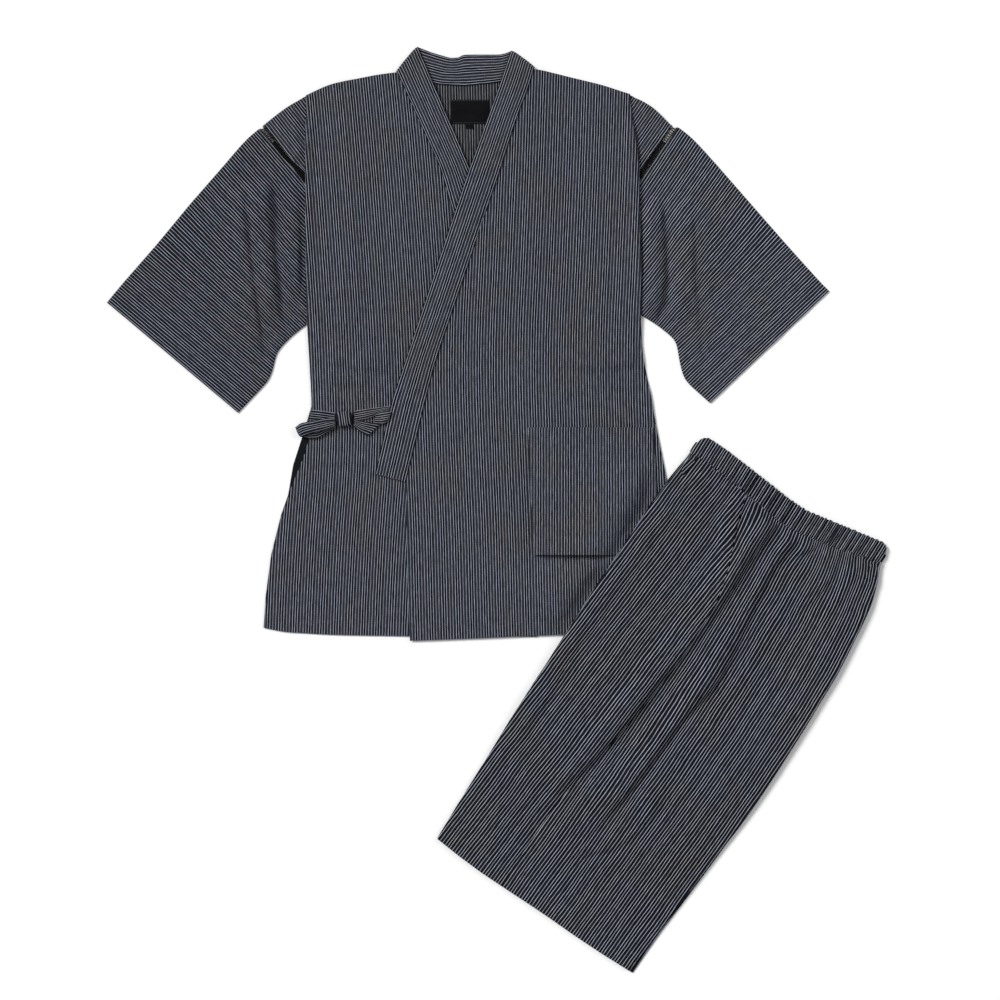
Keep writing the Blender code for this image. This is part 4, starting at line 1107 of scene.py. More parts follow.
def lace_thread():
    trim = bpy.context.scene.jinbei_trim
    f = Finish("lace_thread")
    position = f.add("ShaderNodeTexCoord").outputs["Object"]
    fibre = f.noise(position, 2600.0, 3.0, 0.6)
    worn = f.spread(fibre, 0.0, 1.0, 0.35, 0.7)
    f.set(Base_Color=f.blend(worn, trim.lace, scaled(trim.lace, 3.0)))
    f.set(Roughness=f.spread(fibre, 0.62, 0.85))
    f.set(**{"Specular IOR Level": 0.08, "Sheen Weight": 0.02})
    f.bump(fibre, 0.0002, 0.7)
    return f.material


def sewing_thread():
    trim = bpy.context.scene.jinbei_trim
    f = Finish("sewing_thread")
    position = f.add("ShaderNodeTexCoord").outputs["Object"]
    twist = f.noise(position, 3200.0, 2.0, 0.5)
    f.set(Base_Color=f.blend(twist, trim.thread, scaled(trim.thread, 1.8)))
    f.set(Roughness=f.spread(twist, 0.5, 0.75))
    f.bump(twist, 0.0001, 0.6)
    return f.material


def label_satin():
    """Bare satin with fine ribs and uneven yarns across it."""
    trim = bpy.context.scene.jinbei_trim
    f = Finish("label_satin")
    across, run = f.weave()
    rib = f.math("SINE", f.math("MULTIPLY", run, 2 * math.pi / RIB_PITCH))
    yarn = f.fleck(across, run, SATIN_YARNS)
    f.set(Base_Color=f.blend(yarn, trim.label, scaled(trim.label, 2.2)))
    f.set(Roughness=f.spread(yarn, 0.36, 0.52))
    f.set(**{"Specular IOR Level": 0.05, "Anisotropic": 0.4, "Sheen Weight": 0.02})
    f.bump(f.math("ADD", f.math("MULTIPLY", rib, 0.4), yarn), 0.00012, 0.8)
    return f.material


def once(make):
    """The material that a function makes, which has the function's name."""
    return bpy.data.materials.get(make.__name__) or make()


# ---------------------------------------------------------------- jacket
def build_back():
    sides = np.array(BACK_SIDES, float)
    run = (sides[:, 0] - sides[0, 0]) / (sides[-1, 0] - sides[0, 0])
    shares = cells(BACK_SPANS[1], BACK_CELL)
    right = np.column_stack([np.interp(shares, run, sides[:, 1]), np.interp(shares, run, sides[:, 0])])
    left = np.column_stack([np.interp(shares, run, sides[:, 3]), np.interp(shares, run, sides[:, 2])])
    overs = cells(BACK_SPANS[0], BACK_CELL)
    flat = patch(along(BACK_HEM, overs), along(BACK_TOP, overs), right, left, shares, overs)
    place = jacket(flat)
    relief = 0.3 * soft_ground(flat, SEEDS["back"]) + 0.3
    height = lay(tree_of("jacket_back"), place, np.maximum(relief, 0.0))
    weave = upright_weave(flat, ((0, 0.0), (600, 0.0), (800, -0.035)))
    # painted shade: in the right side slit the back's weave is held between stripes, so the dark ground
    # stands in for the shade inside the slit
    slit = (flat[..., 1] > SLIT_FROM) & (flat[..., 1] < SLIT_TO)
    weave[..., 0] = np.where(slit, np.maximum(weave[..., 0], SLIT_SHADE_YARN), weave[..., 0])
    piece = cloth_sheet("back_panel", with_height(place, height), weave, inside_cotton())
    return finished(piece, ["jacket_back"], "jacket_cloth_inside")


def build_sleeve(name, node, side, cuff, fold, underarm, front_end, back_end, creases, turns):
    overs, rows = (cells(span, FOLDED_CELL) for span in SLEEVE_SPANS)
    back_overs, turn = cells(SLEEVE_SPANS[0], HIDDEN_CELL), 3
    front_end, back_end = front_end[::-1], back_end[::-1]
    front_under = along(underarm[:-1] + (front_end[-1],), rows)
    back_under = along(underarm[:-1] + (back_end[-1],), rows)
    top = along(fold, rows)
    front = patch(along(cuff, overs), along(front_end, overs), top, front_under, rows, overs)
    back = patch(along(cuff, back_overs), along(back_end, back_overs), top, back_under, rows, back_overs)
    lift, taken, moved = crease(front, creases, 1.3 + side)
    inner = edge_ease(front.shape[:2], ("start", "end", "first", "last"), -1.0, 2.0)
    moved *= np.maximum(1 - inner, 0.0)[..., None]
    relief = lift + soft_ground(front, SEEDS["sleeve"] + side, 0.9)
    relief += edge_ease(front.shape[:2], ("first", "last"), 0.35, 1.5)
    height = lay(tree_of(node), jacket(front), relief)
    height[:, 0] = height[:, -1] = 0.5 * CLOTH + STEP + SLEEVE_EDGE_LIFT
    upper = with_height(jacket(front + moved), height)
    lower = with_height(jacket(back), 0.5 * CLOTH)
    seam_turn = turn_over(upper[:, -1], lower[:, -1], square_off(upper[:, -1], upper[:, -2]), turn)
    fold_turn = turn_over(lower[:, 0], upper[:, 0], square_off(upper[:, 0], upper[:, 1]), turn)
    points = np.concatenate([upper, seam_turn, lower[:, ::-1], fold_turn, upper[:, :1]], axis=1)
    weave = sleeve_weave(front + moved, cuff, side, turns)
    weave[..., 0] += taken
    back_weave = sleeve_weave(back, cuff, side, turns)
    seam_weave = np.repeat(weave[:, -1:], turn, axis=1)
    fold_weave = np.repeat(weave[:, :1], turn, axis=1)
    weave = np.concatenate([weave, seam_weave, back_weave[:, ::-1], fold_weave, weave[:, :1]], axis=1)
    piece = cloth_sheet(name, points, weave, sleeve_cotton(side), joins=True)
    return finished(
        piece, [node], "jacket_cloth",
    )


def lace_rows(body_line, sleeve_line, distances):
    """Points of both armhole lines at these distances from the shoulder, as [distance, line]."""
    lines = []
    for line, run in zip((body_line, sleeve_line), LACE_RUNS):
        lines.append(along(line[::-1], distances * run / LACE_RUNS[1] / length_of(line), rounding=2.0))
    return jacket(np.stack(lines, axis=1))


def build_lace(name, node, body_line, sleeve_line):
    """Ladder lace: two side cords, crossed threads in its open part and close rungs below."""
    high, low = 0.5 * CLOTH + STEP, 0.9 * CLOTH
    open_end = LACE_GAPS * (LACE_GAP + LACE_RUNG)
    bars = np.array(LACE_BARS)
    form = bmesh.new()

    def spot(distance, share, height):
        pair = lace_rows(body_line, sleeve_line, np.array([distance]))[0]
        return np.r_[(1 - share) * pair[0] + share * pair[1], height]

    front_run = np.arange(0.0, LACE_RUNS[1] + 0.1, 3.0)
    back_run = np.arange(0.0, 0.86 * LACE_RUNS[1], 4.0)
    for share in bars:
        front = [spot(d, share, high) for d in front_run[::-1]]
        back = [spot(d, share, low) for d in back_run]
        way = direction(front[-1] - front[-2])
        over = turn_over(front[-1], back[0], way, 3)
        thread_tube(form, np.array([*front, *over, *back]), 0.55, 6)
    wide = float(np.diff(bars)[0])
    for height, last in ((high, front_run[-1]), (low, back_run[-1])):
        for gap in range(LACE_GAPS):
            start = 0.6 + gap * (LACE_GAP + LACE_RUNG)
            ends = start, start + LACE_GAP
            for first, second in ((0, 1), (1, 0)):
                a = spot(ends[0], bars[first], height + 0.15)
                b = spot(ends[1], bars[second], height + 0.15)
                thread_tube(form, np.linspace(a, b, 5) + np.array([0, 0, 0.12 * first]), 0.4, 5)
            rung = [spot(ends[1] + 0.5 * LACE_RUNG, bars[0] + wide * k, height) for k in even(3)]
            thread_tube(form, np.array(rung), 0.62, 5)
        for distance in np.arange(open_end, last, 1.9):
            rung = [spot(distance + 0.7 * k, bars[0] + wide * k, height) for k in even(3)]
            thread_tube(form, np.array(rung), 0.85, 5)
    bmesh.ops.recalc_face_normals(form, faces=form.faces)
    return finished(link(name, mesh_of(form, name), once(lace_thread)), [node], "lace")


def build_label():
    made = []
    rows = (
        ("neck_label", "jacket_label", LABEL_BOX, 0.25), ("neck_size_tab", "jacket_size_tab", TAB_BOX, 0.0),
    )
    for name, node, (x0, y0, x1, y1), swell in rows:
        overs, ups = cells(x1 - x0, LABEL_CELL), cells(y1 - y0, LABEL_CELL)
        flat = np.stack(np.meshgrid(x0 + (x1 - x0) * overs, y0 + (y1 - y0) * ups), axis=-1)
        x, y = flat[..., 0], flat[..., 1]
        inner = np.minimum.reduce([x - x0, x1 - x, y - y0, y1 - y])
        uneven = 0.12 * wander(flat, 14.0, 9.0, SEEDS["label"])
        relief = swell * smooth_step(inner / 6.0) + uneven * smooth_step(inner / 4.0)
        height = lay(tree_of(node), jacket(flat), relief, LABEL, LABEL_SHELL, 1)
        mesh = grid_mesh(name, with_height(jacket(flat), height), flat)
        piece = walled(name, mesh, LABEL_SHELL, once(label_satin))
        made.append(finished(piece, [node], "label"))
    return made


def build_front(name, node, side, edge, side_line, hem, shoulder, shoulder_end, body_line, creases, lean):
    """A front: the panel, its pleat at the armhole and the shoulder end beyond the pleat."""
    low, high = BODY_HEIGHTS
    ups = cells(high - low, CELL)
    armpit_row = int(np.argmin(np.abs(low + ups * (high - low) - ARMPIT)))
    overs = cells(FRONT_SPAN, CELL)
    flat = patch(
        along(hem, overs), along(shoulder, overs), up_edge(edge, ups), up_edge(side_line, ups), ups, overs
    )
    lift, taken, _ = crease(flat, creases, 2.1 + side)
    relief = lift + soft_ground(flat, SEEDS["front"] + side)
    relief += edge_ease(flat.shape[:2], ("start",), 0.2, 1.5)
    tree = tree_of(node)
    main = with_height(jacket(flat), lay(tree, jacket(flat), relief))
    pleat_rows = slice(armpit_row, None)
    fold = flat[pleat_rows, -1]
    inner = fold - np.array([side * PLEAT, 0.0])
    inner[-1] = shoulder_end[0]
    end_ups = (ups[pleat_rows] - ups[armpit_row]) / (1 - ups[armpit_row])
    end_overs = cells(SHOULDER_END_SPAN, CELL)
    arm = along(body_line, end_ups)
    bottom = (1 - end_overs)[:, None] * inner[0] + end_overs[:, None] * arm[0]
    end_flat = patch(bottom, along(shoulder_end, end_overs), inner, arm, end_ups, end_overs)
    end_relief = 0.5 * np.maximum(soft_ground(end_flat, SEEDS["shoulder end"] + side), 0.0)
    gone = side * (end_flat[..., 0] - fold[:, None, 0])
    end_relief += SHOULDER_SWELL * smooth_step(gone / 11.0) * np.exp(-np.maximum(gone, 0.0) / 40.0)
    covered = seen(all_pieces, jacket(end_flat)) > 0.5 * CLOTH + STEP + 0.5 * CLOTH + 0.5 * GAP
    end_height = 0.5 * CLOTH + STEP + end_relief * worn_in(1.0 - covered, EDGE_RINGS)
    end_grid = with_height(jacket(end_flat), end_height)
    below = with_height(jacket(np.stack([fold, inner], axis=1)), 0.5 * CLOTH + 2 * STEP)
    outwards = np.array([side, 0.0, 0.0])
    edge_turn = turn_over(main[pleat_rows, -1], below[:, 0], outwards)
    inner_turn = turn_over(below[:, 1], end_grid[:, 0], -outwards)
    pleat = np.concatenate([edge_turn, below, inner_turn, end_grid], axis=1)
    blank = np.repeat(main[:armpit_row, -1:], pleat.shape[1], axis=1)
    points = np.concatenate([main, np.concatenate([blank, pleat], axis=0)], axis=1)
    weave = upright_weave(flat, lean)
    weave[..., 0] += taken
    end_weave = slanted_weave(end_flat, SHOULDER_END_ANGLES[side])
    folded = np.concatenate([edge_turn, below[:, :1]], axis=1)
    hidden = run_on(weave[pleat_rows, -1], main[pleat_rows, -1], folded, side)
    hidden_end = np.repeat(end_weave[:, :1], inner_turn.shape[1] + 1, axis=1)
    pleat_weave = np.concatenate([hidden, hidden_end, end_weave], axis=1)
    blank_weave = np.repeat(weave[:armpit_row, -1:], pleat.shape[1], axis=1)
    weave = np.concatenate([weave, np.concatenate([blank_weave, pleat_weave], axis=0)], axis=1)
    keep = np.ones((points.shape[0] - 1, points.shape[1] - 1), bool)
    keep[:armpit_row, len(overs) - 1 :] = False
    piece = cloth_sheet(name, points, weave, jacket_cotton(), keep=keep)
    return finished(piece, [node], "jacket_cloth")


def stations(rows, length, columns):
    """Points across a strip's stations, as (row, column), from its free edge to its seam edge."""
    rows = np.array(rows, float)
    count = max(4, round(length / NARROW_CELL))
    at = np.linspace(0, len(rows) - 1, LINE_POINTS)
    dense = np.column_stack([np.interp(at, np.arange(len(rows)), rows[:, k]) for k in range(rows.shape[1])])
    reach = int(0.22 * LINE_POINTS / (len(rows) - 1))
    dense = eased(eased(dense, reach), reach)
    pick = np.linspace(0, LINE_POINTS - 1, count + 1)
    smooth = np.column_stack([np.interp(pick, np.arange(LINE_POINTS), dense[:, k]) for k in range(4)])
    share = np.linspace(0, 1, columns)[None, :, None]
    return (1 - share) * smooth[:, None, :2] + share * smooth[:, None, 2:]


def collar_run(tree, rows, length, seed, hidden_below):
    """A run of the collar; below a height it lies under the other run, which hides it."""
    flat = stations(rows, length, 15)
    across = np.linspace(-1, 1, 15)[None, :]
    crown = 0.35 * (1 - across**4) + 0.18 * wander(flat, 26.0, 40.0, seed)
    crown = crown - 0.8 * smooth_step((across - 0.1) / 0.9)
    place = jacket(flat)
    lowest = seen(tree, place, above=False) + COLLAR
    top = np.where(flat[..., 1] < hidden_below, lowest, seen(tree, place))
    height = lay(tree, place, crown, COLLAR, COLLAR_SHELL, 3, top)
    return with_height(place, height), band_weave(flat, COLLAR_WIDTH)


def build_collar():
    tree = tree_of("jacket_collar")
    right, right_weave = collar_run(tree, COLLAR_RIGHT, COLLAR_LENGTHS[0], 3.0, COLLAR_CROSSING)
    neck, neck_weave = collar_run(tree, COLLAR_NECK, COLLAR_LENGTHS[1], 4.0, math.inf)
    left, left_weave = collar_run(tree, COLLAR_LEFT, COLLAR_LENGTHS[2], 5.0, 0.0)
    right_turn = crosswise(turn_over(right[-1], neck[0], direction(neck[0] - neck[1])))
    left_turn = crosswise(turn_over(neck[-1], left[0], direction(neck[-1] - neck[-2])))
    points = np.concatenate([right, right_turn, neck, left_turn, left], axis=0)
    right_hold = np.repeat(right_weave[-1:], len(right_turn), axis=0)
    left_hold = np.repeat(left_weave[:1], len(left_turn), axis=0)
    weave = np.concatenate([right_weave, right_hold, neck_weave, left_hold, left_weave], axis=0)
    piece = cloth_sheet("collar_band", points, weave, jacket_cotton(), thickness=COLLAR_SHELL)
    return finished(
        piece, ["jacket_collar"], "jacket_cloth",
    )


def build_pocket():
    rows = np.array(POCKET_SIDES, float)
    overs, ups = (cells(span, POCKET_CELL) for span in POCKET_SPANS)
    sides = along(rows, ups)
    over = overs[None, :, None]
    flat = (1 - over) * sides[:, None, :2] + over * sides[:, None, 2:]
    relief = 0.5 * soft_ground(flat, SEEDS["pocket"]) + 0.25
    relief += edge_ease(flat.shape[:2], ("end", "first", "last"), 0.55, 1.2)
    inset = (rows[0, 1] - flat[..., 1]) / WIDE_HEM
    beside = np.minimum(rows[0, 1] - flat[..., 1], flat[:, -1:, 0] - flat[..., 0])
    relief += crease(flat, (SHORTS_SHADE,), 3.1)[0] * smooth_step((beside - 4.0) / 26.0)
    relief += 0.22 * np.where(inset < 1, 1.0, 0.0)
    height = lay(tree_of("jacket_pocket"), jacket(flat), relief, smoothing=3)
    points = with_height(jacket(flat), height)[::-1]
    weave = np.stack([flat[..., 0] + 3.0, flat[..., 1]], axis=-1)[::-1]
    piece = cloth_sheet("patch_pocket", points, weave, jacket_cotton(), thickness=POCKET_SHELL)
    return finished(
        piece, ["jacket_pocket"], "jacket_cloth",
    )


# ---------------------------------------------------------------- ties
def build_strap(name, node, rows, length, seed, stripes):
    """A flat stretch of tie: its rows across, its length, its seed, and the width of the stripes it holds."""
    flat = stations(rows, length, STRAP_COLUMNS)
    across = np.linspace(-1, 1, STRAP_COLUMNS)[None, :]
    relief = TIE_RISE + 0.35 * (1 - across**2) + 0.2 * wander(flat, 12.0, 7.0, seed)
    weave = band_weave(flat, stripes)
    height = lay(tree_of(node), jacket(flat), relief, TIE, TIE_SHELL, 1)
    points = with_height(jacket(flat), height)
    piece = cloth_sheet(name, points[:, ::-1], weave[:, ::-1], tie_cotton(), thickness=TIE_SHELL)
    return finished(
        piece, [node], "jacket_cloth",
    )


def build_loop():
    """The bow's loop: out over the top, round its tip and back underneath."""
    over = stations(LOOP_OVER, LOOP_RUN, LOOP_COLUMNS)
    back = stations(LOOP_UNDER, LOOP_RUN, LOOP_COLUMNS)
    tree = tree_of("tie_loop")
    across = np.linspace(-1, 1, LOOP_COLUMNS)[None, :]
    run = np.linspace(0, 1, len(over))[:, None]
    fold = -1.1 * np.exp(-(((across + 0.25 - 0.5 * run) / 0.22) ** 2)) * smooth_step((1 - run) / 0.35)
    relief = (0.7 + 2.6 * np.sin(math.pi * run) ** 0.7) * (1 - 0.5 * across**2) + 1.6 * fold
    relief += 0.25 * wander(over, 9.0, 7.0, SEEDS["loop"])
    high_z = lay(tree, jacket(over), relief, TIE, TIE_SHELL, 1)
    low_z = seen(tree, jacket(back), above=False) + 0.5 * TIE
    high, low = with_height(jacket(over), high_z), with_height(jacket(back), low_z)
    high[-1, :, 2] = np.maximum(high[-1, :, 2], low[0, :, 2] + TIE)
    tip = crosswise(turn_over(high[-1], low[0], direction(high[-1] - high[-2])))
    points = np.concatenate([high, tip, low], axis=0)
    weave = band_weave(points, LOOP_STRIPES)
    piece = cloth_sheet("bow_loop", points[:, ::-1], weave[:, ::-1], tie_cotton(), thickness=TIE_SHELL)
    return finished(
        piece, ["tie_loop"], "jacket_cloth",
    )


def build_knot():
    """The tie wrapped once round the crossing: a soft band, creased along its run."""
    width, depth, height = KNOT_SIZE
    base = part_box("tie_knot")[0].z / MM
    rows, sides = 25, 40
    x = np.linspace(-1, 1, rows)[:, None]
    turn = np.linspace(0, 2 * math.pi, sides + 1)[None, :]
    pinch = 1 - 0.1 * (1 - np.cos(turn) ** 2)
    roll = (1 - np.abs(x) ** 5) ** 0.5
    ridges = 0.45 * np.sin(7.5 * x + 0.6 * np.sin(turn)) * roll
    flat_side = np.sign(np.cos(turn)) * np.abs(np.cos(turn)) ** 0.55
    flat_top = np.sign(np.sin(turn)) * np.abs(np.sin(turn)) ** 0.55
    y = (0.5 * depth * (0.62 + 0.38 * roll) + ridges) * flat_side
    z = 0.5 * height + (0.5 * height * (0.5 + 0.5 * roll) - 0.3 + ridges * (flat_top > 0)) * flat_top
    px = 0.5 * width * x * pinch
    cos_turn, sin_turn = math.cos(KNOT_TURN), math.sin(KNOT_TURN)
    centre = jacket(KNOT_CENTRE)
    points = np.stack([
        centre[0] + cos_turn * px - sin_turn * y, centre[1] + sin_turn * px + cos_turn * y,
        np.broadcast_to(base + z, y.shape),
    ], axis=-1)
    run = turn * 0.25 * (depth + height)
    weave = np.stack(np.broadcast_arrays(0.5 * width * x + BAND_LINE, run), axis=-1)
    mesh = grid_mesh("bow_knot", points, weave, joins=True)
    faces_out(mesh, close=True)
    piece = link("bow_knot", mesh, tie_cotton())
    return finished(piece, ["tie_knot"], "jacket_cloth")


# ---------------------------------------------------------------- shorts
def leg_line(column, v):
    table = np.array(LEG_LINES, float)
    at, dense = rounded(table[:, column : column + 1], table[:, 0], 14.0)
    return np.interp(v, at, dense[:, 0])


def leg_flat(u, v):
    ends = np.array(LEG_ENDS, float)
    share = np.clip(v / LEG_TOP, 0, 1)
    hem = np.interp(u, ends[:, 0], ends[:, 1]) * np.clip(1 - v / HEM_CURVE, 0, 1)
    seam = (np.interp(u, ends[:, 0], ends[:, 2]) - GAP) * share**2
    return np.stack([u, v + hem + seam], axis=-1)


def leg_grids(front, upper, cell):
    """The two layers of a leg panel in the shorts' own frame, and the outer one's shares across."""
    v = ((LEG_TOP + SEAM_LAP) * cells(LEG_TOP, cell))[:, None]
    side = -1.0 if front else 1.0
    column = 1 if front else (3 if upper else 4)
    outseam = leg_line(2, v) + side * 0.5 * GAP
    edge = leg_line(column, v)
    inner = np.array(INNER_LINES, float)
    seam = np.interp(v, inner[:, 0], inner[:, 1 if front else 2]) + side * 0.5 * GAP
    shares = cells(LEG_SPANS[front], cell)
    returns = even(8 if front else 10)[::-1]
    outer = leg_flat(outseam + (edge - outseam) * shares, np.broadcast_to(v, (len(v), len(shares))))
    back = leg_flat(edge + (seam - edge) * returns, np.broadcast_to(v, (len(v), len(returns))))
    return outer, back, shares


def casing_pucker(points):
    """Uneven puckers that run down from the gathered waist and die out, and how they push the stripes."""
    u, v = points[..., 0], points[..., 1]
    reach = smooth_step((v - 530.0) / 110.0) ** 2
    fine = wander(np.stack([u, 0.25 * v], axis=-1), 7.0, 20.0, SEEDS["fine pucker"])
    broad = wander(np.stack([u, 0.2 * v], axis=-1), 17.0, 22.0, SEEDS["broad pucker"])
    push = wander(points, 46.0, 58.0, SEEDS["pucker push"])
    push *= 0.9 + 2.6 * smooth_step((v - 480.0) / 160.0)
    return reach * (1.3 * fine + 1.0 * broad), push


def build_leg_panel(name, node, front, upper):
    outer, back, shares = leg_grids(front, upper, FOLDED_CELL if upper else HIDDEN_CELL)
    tree = tree_of(node)
    if upper:
        lift, taken, moved = crease(outer, LEG_CREASES, 3.7, 0.045)
        moved *= smooth_step((LEG_TOP - 6.0 - outer[..., 1]) / 22.0)[..., None]
        moved *= 1.0 - np.exp(-np.minimum(shares, 1 - shares) / 0.03)[None, :, None]
        pucker, pushed = casing_pucker(outer)
        taken = taken + pushed
        relief = lift + soft_ground(outer, SEEDS["leg"], 1.1) + pucker
        relief += edge_ease(outer.shape[:2], ("first",), 0.9, 1.4)
        meeting = smooth_step((outer[..., 1] - 590.0) / 45.0)
        solid = seen(tree, shorts(outer))
        front_meets, seat_meets = CASING_MEETS
        meets = front_meets + (seat_meets - front_meets) * smooth_step((outer[..., 0] + 70.0) / 60.0)
        form = solid + meeting * (meets + 0.5 * CLOTH - solid)
        top = lay(tree, shorts(outer), relief, smoothing=4, top=solid, form=form)
        low = ring_mean(seen(tree, shorts(back), above=False) + 0.5 * CLOTH, 2)
    else:
        taken, moved = 0.0, 0.0
        low = np.full(outer.shape[:2], 0.5 * CLOTH)
        top = ring_mean(seen(tree, shorts(back)) - 0.5 * CLOTH, 2)
    high_flat, low_flat = (outer + moved, back) if upper else (back, outer)
    high, below = with_height(shorts(high_flat), top), with_height(shorts(low_flat), low)
    sign = -1.0 if front else 1.0
    outwards = np.array([sign * math.cos(SHORTS_TURN), -sign * math.sin(SHORTS_TURN), 0.0])
    high[:, -1, 2] = np.maximum(high[:, -1, 2], below[:, -1, 2] + STEP)
    turn = turn_over(high[:, -1], below[:, -1], outwards)
    points = np.concatenate([high, turn, below[:, ::-1]], axis=1)
    outer_weave = leg_weave(outer + moved, not front, shares)
    outer_weave[..., 0] += taken
    edge_weave = outer_weave[:, -1:]
    lead = high[:, -1] if upper else below[:, -1]
    turned = run_on(edge_weave[:, 0], lead, turn if upper else turn[:, ::-1], sign)
    turned = turned if upper else turned[:, ::-1]
    gone = np.abs(back[..., 0] - back[:, -1:, 0])
    back_along = np.broadcast_to(back[..., 1], gone.shape)
    back_weave = np.stack([edge_weave[..., 0] + sign * gone, back_along], axis=-1)
    first, last = (outer_weave, back_weave) if upper else (back_weave, outer_weave)
    weave = np.concatenate([first, turned, last[:, ::-1]], axis=1)
    if front:
        points, weave = points[:, ::-1], weave[:, ::-1]
    piece = cloth_sheet(name, points, weave, shorts_cotton())
    return finished(piece, [node], "shorts_cloth")


def seam_weave(u):
    """How far across the stripes the casing's cloth is, so that they run on from the legs."""
    v = np.full(u.shape, LEG_TOP)
    outseam, edge = leg_line(2, LEG_TOP), leg_line(3, LEG_TOP)
    front = leg_weave(np.stack([u, v], axis=-1), False)[..., 0]
    seat = leg_weave(np.stack([u, v], axis=-1), True, (u - outseam) / (edge - outseam))[..., 0]
    return np.where(u < outseam, front, seat)


def build_waistband():
    """The gathered casing: a ring of cloth round elastic, laid flat, with uneven gathers."""
    steps = GATHERS * GATHER_STEPS
    ends, top = np.array(LEG_ENDS, float), np.array(CASING_TOP, float)
    turn = np.linspace(0, 2 * math.pi, CASING_SIDES + 1)[None, :]
    v_share = 0.5 - 0.5 * np.sign(np.cos(turn)) * np.abs(np.cos(turn)) ** 0.6
    bulge = np.sign(np.sin(turn)) * np.abs(np.sin(turn)) ** 0.7
    number = np.arange(GATHERS)
    widths = 1 + 0.4 * np.sin(1.7 * number) * np.sin(2.9 * number)
    depths = 1 + 0.4 * np.sin(2.3 * number + 1.0)
    starts = np.r_[0.0, np.cumsum(widths)] / widths.sum()
    casing_run = CASING_ENDS[1] - CASING_ENDS[0]

    def sections(shares, upper):
        shares = shares[:, None]
        from_end = np.clip(np.minimum(shares, 1 - shares) * casing_run / CASING_ROUND, 0, 1)
        inset = CASING_ROUND * (1 - np.sqrt(1 - (1 - from_end) ** 2))
        phase = np.interp(shares, starts, np.arange(GATHERS + 1))
        fade = np.clip(np.minimum(shares, 1 - shares) / 0.03, 0.15, 1) * (1.0 if upper else 0.3)
        fade = fade * (0.45 + 0.55 * smooth_step((shares - 0.12) / 0.3))
        lean = 0.16 * np.sin(1.3 * phase) * (v_share - 0.5)
        wave = np.abs(np.sin(math.pi * (phase + lean))) ** 0.8
        depth = GATHER_DEPTH * depths[np.minimum(phase.astype(int), GATHERS - 1)] * fade
        u = CASING_ENDS[0] + casing_run * shares + 0 * v_share
        seam_v = LEG_TOP + np.interp(u, ends[:, 0], ends[:, 2]) + CASING_SEAM + 0.3 * inset
        top_v = np.interp(u, top[:, 0], top[:, 1]) - inset
        v = seam_v + (top_v - seam_v) * v_share + 0.9 * depth * (wave - 0.7) * v_share**2
        thick = 0.5 * CASING - 0.15
        if upper:
            over = np.where(bulge > 0, bulge, 0.0)
            z = 1.5 * CASING + GAP + bulge * thick + over * depth * (wave - 0.55)
        else:
            z = 0.5 * CASING - bulge * thick + 0 * u
        across = CASING_PACKED * seam_weave(u) - 0.3 * np.sin(2 * math.pi * phase) * fade + 0 * v
        return with_height(shorts(np.stack([u, v], axis=-1)), z), np.stack([across, v], axis=-1)

    over, over_weave = sections(even(steps), True)
    below, below_weave = sections(even(steps // 2)[::-1], False)
    lead = np.array([math.cos(SHORTS_TURN), -math.sin(SHORTS_TURN), 0.0])
    seat_turn = crosswise(turn_over(over[-1], below[0], lead, 5))
    front_turn = crosswise(turn_over(below[-1], over[0], -lead, 5))
    points = np.concatenate([over, seat_turn, below, front_turn, over[:1]], axis=0)
    steps_on = np.arange(1, len(seat_turn) + 1)[:, None, None] * np.array([1.0, 0.0])
    seat_hold = over_weave[-1:] + steps_on
    front_hold = over_weave[:1] - steps_on[::-1]
    weave = np.concatenate([over_weave, seat_hold, below_weave, front_hold, over_weave[:1]], axis=0)
    mesh = grid_mesh("waistband", points, weave, joins=True)
    faces_out(mesh)
    piece = link("waistband", mesh, shorts_cotton())
    return finished(
        piece, ["shorts_waistband"], "shorts_cloth",
    )


# ---------------------------------------------------------------- stitching
def inset_line(line, distance, side=1.0):
    """A line moved sideways in the plan."""
    points = along(line, cells(length_of(line), 3.0))
    run = np.gradient(points, axis=0)
    run /= np.linalg.norm(run, axis=1, keepdims=True)
    return points + side * distance * np.column_stack([-run[:, 1], run[:, 0]])


def stitch_run(form, tree, dressed, line, pitch):
    """Stitches one after another on the cloth below a line in the plan, where nothing hides them."""
    spots = along(line, cells(length_of(line), pitch), rounding=0.0)
    heights = seen(tree, spots)
    shown = seen(dressed, spots) < heights + 0.1
    radius = bpy.context.scene.jinbei_trim.thread_radius
    for first, second, low, high, visible in zip(spots, spots[1:], heights, heights[1:], shown):
        if not visible:
            continue
        run = Vector((*(second - first), high - low))
        place = Matrix.Translation(Vector((*(0.5 * (first + second)), 0.5 * (low + high))) * MM)
        turn = run.to_track_quat("X", "Z").to_matrix().to_4x4()
        size = Matrix.Diagonal((0.38 * run.length * MM, radius, 0.6 * radius, 1.0))
        bmesh.ops.create_uvsphere(form, u_segments=6, v_segments=3, radius=1.0, matrix=place @ turn @ size)


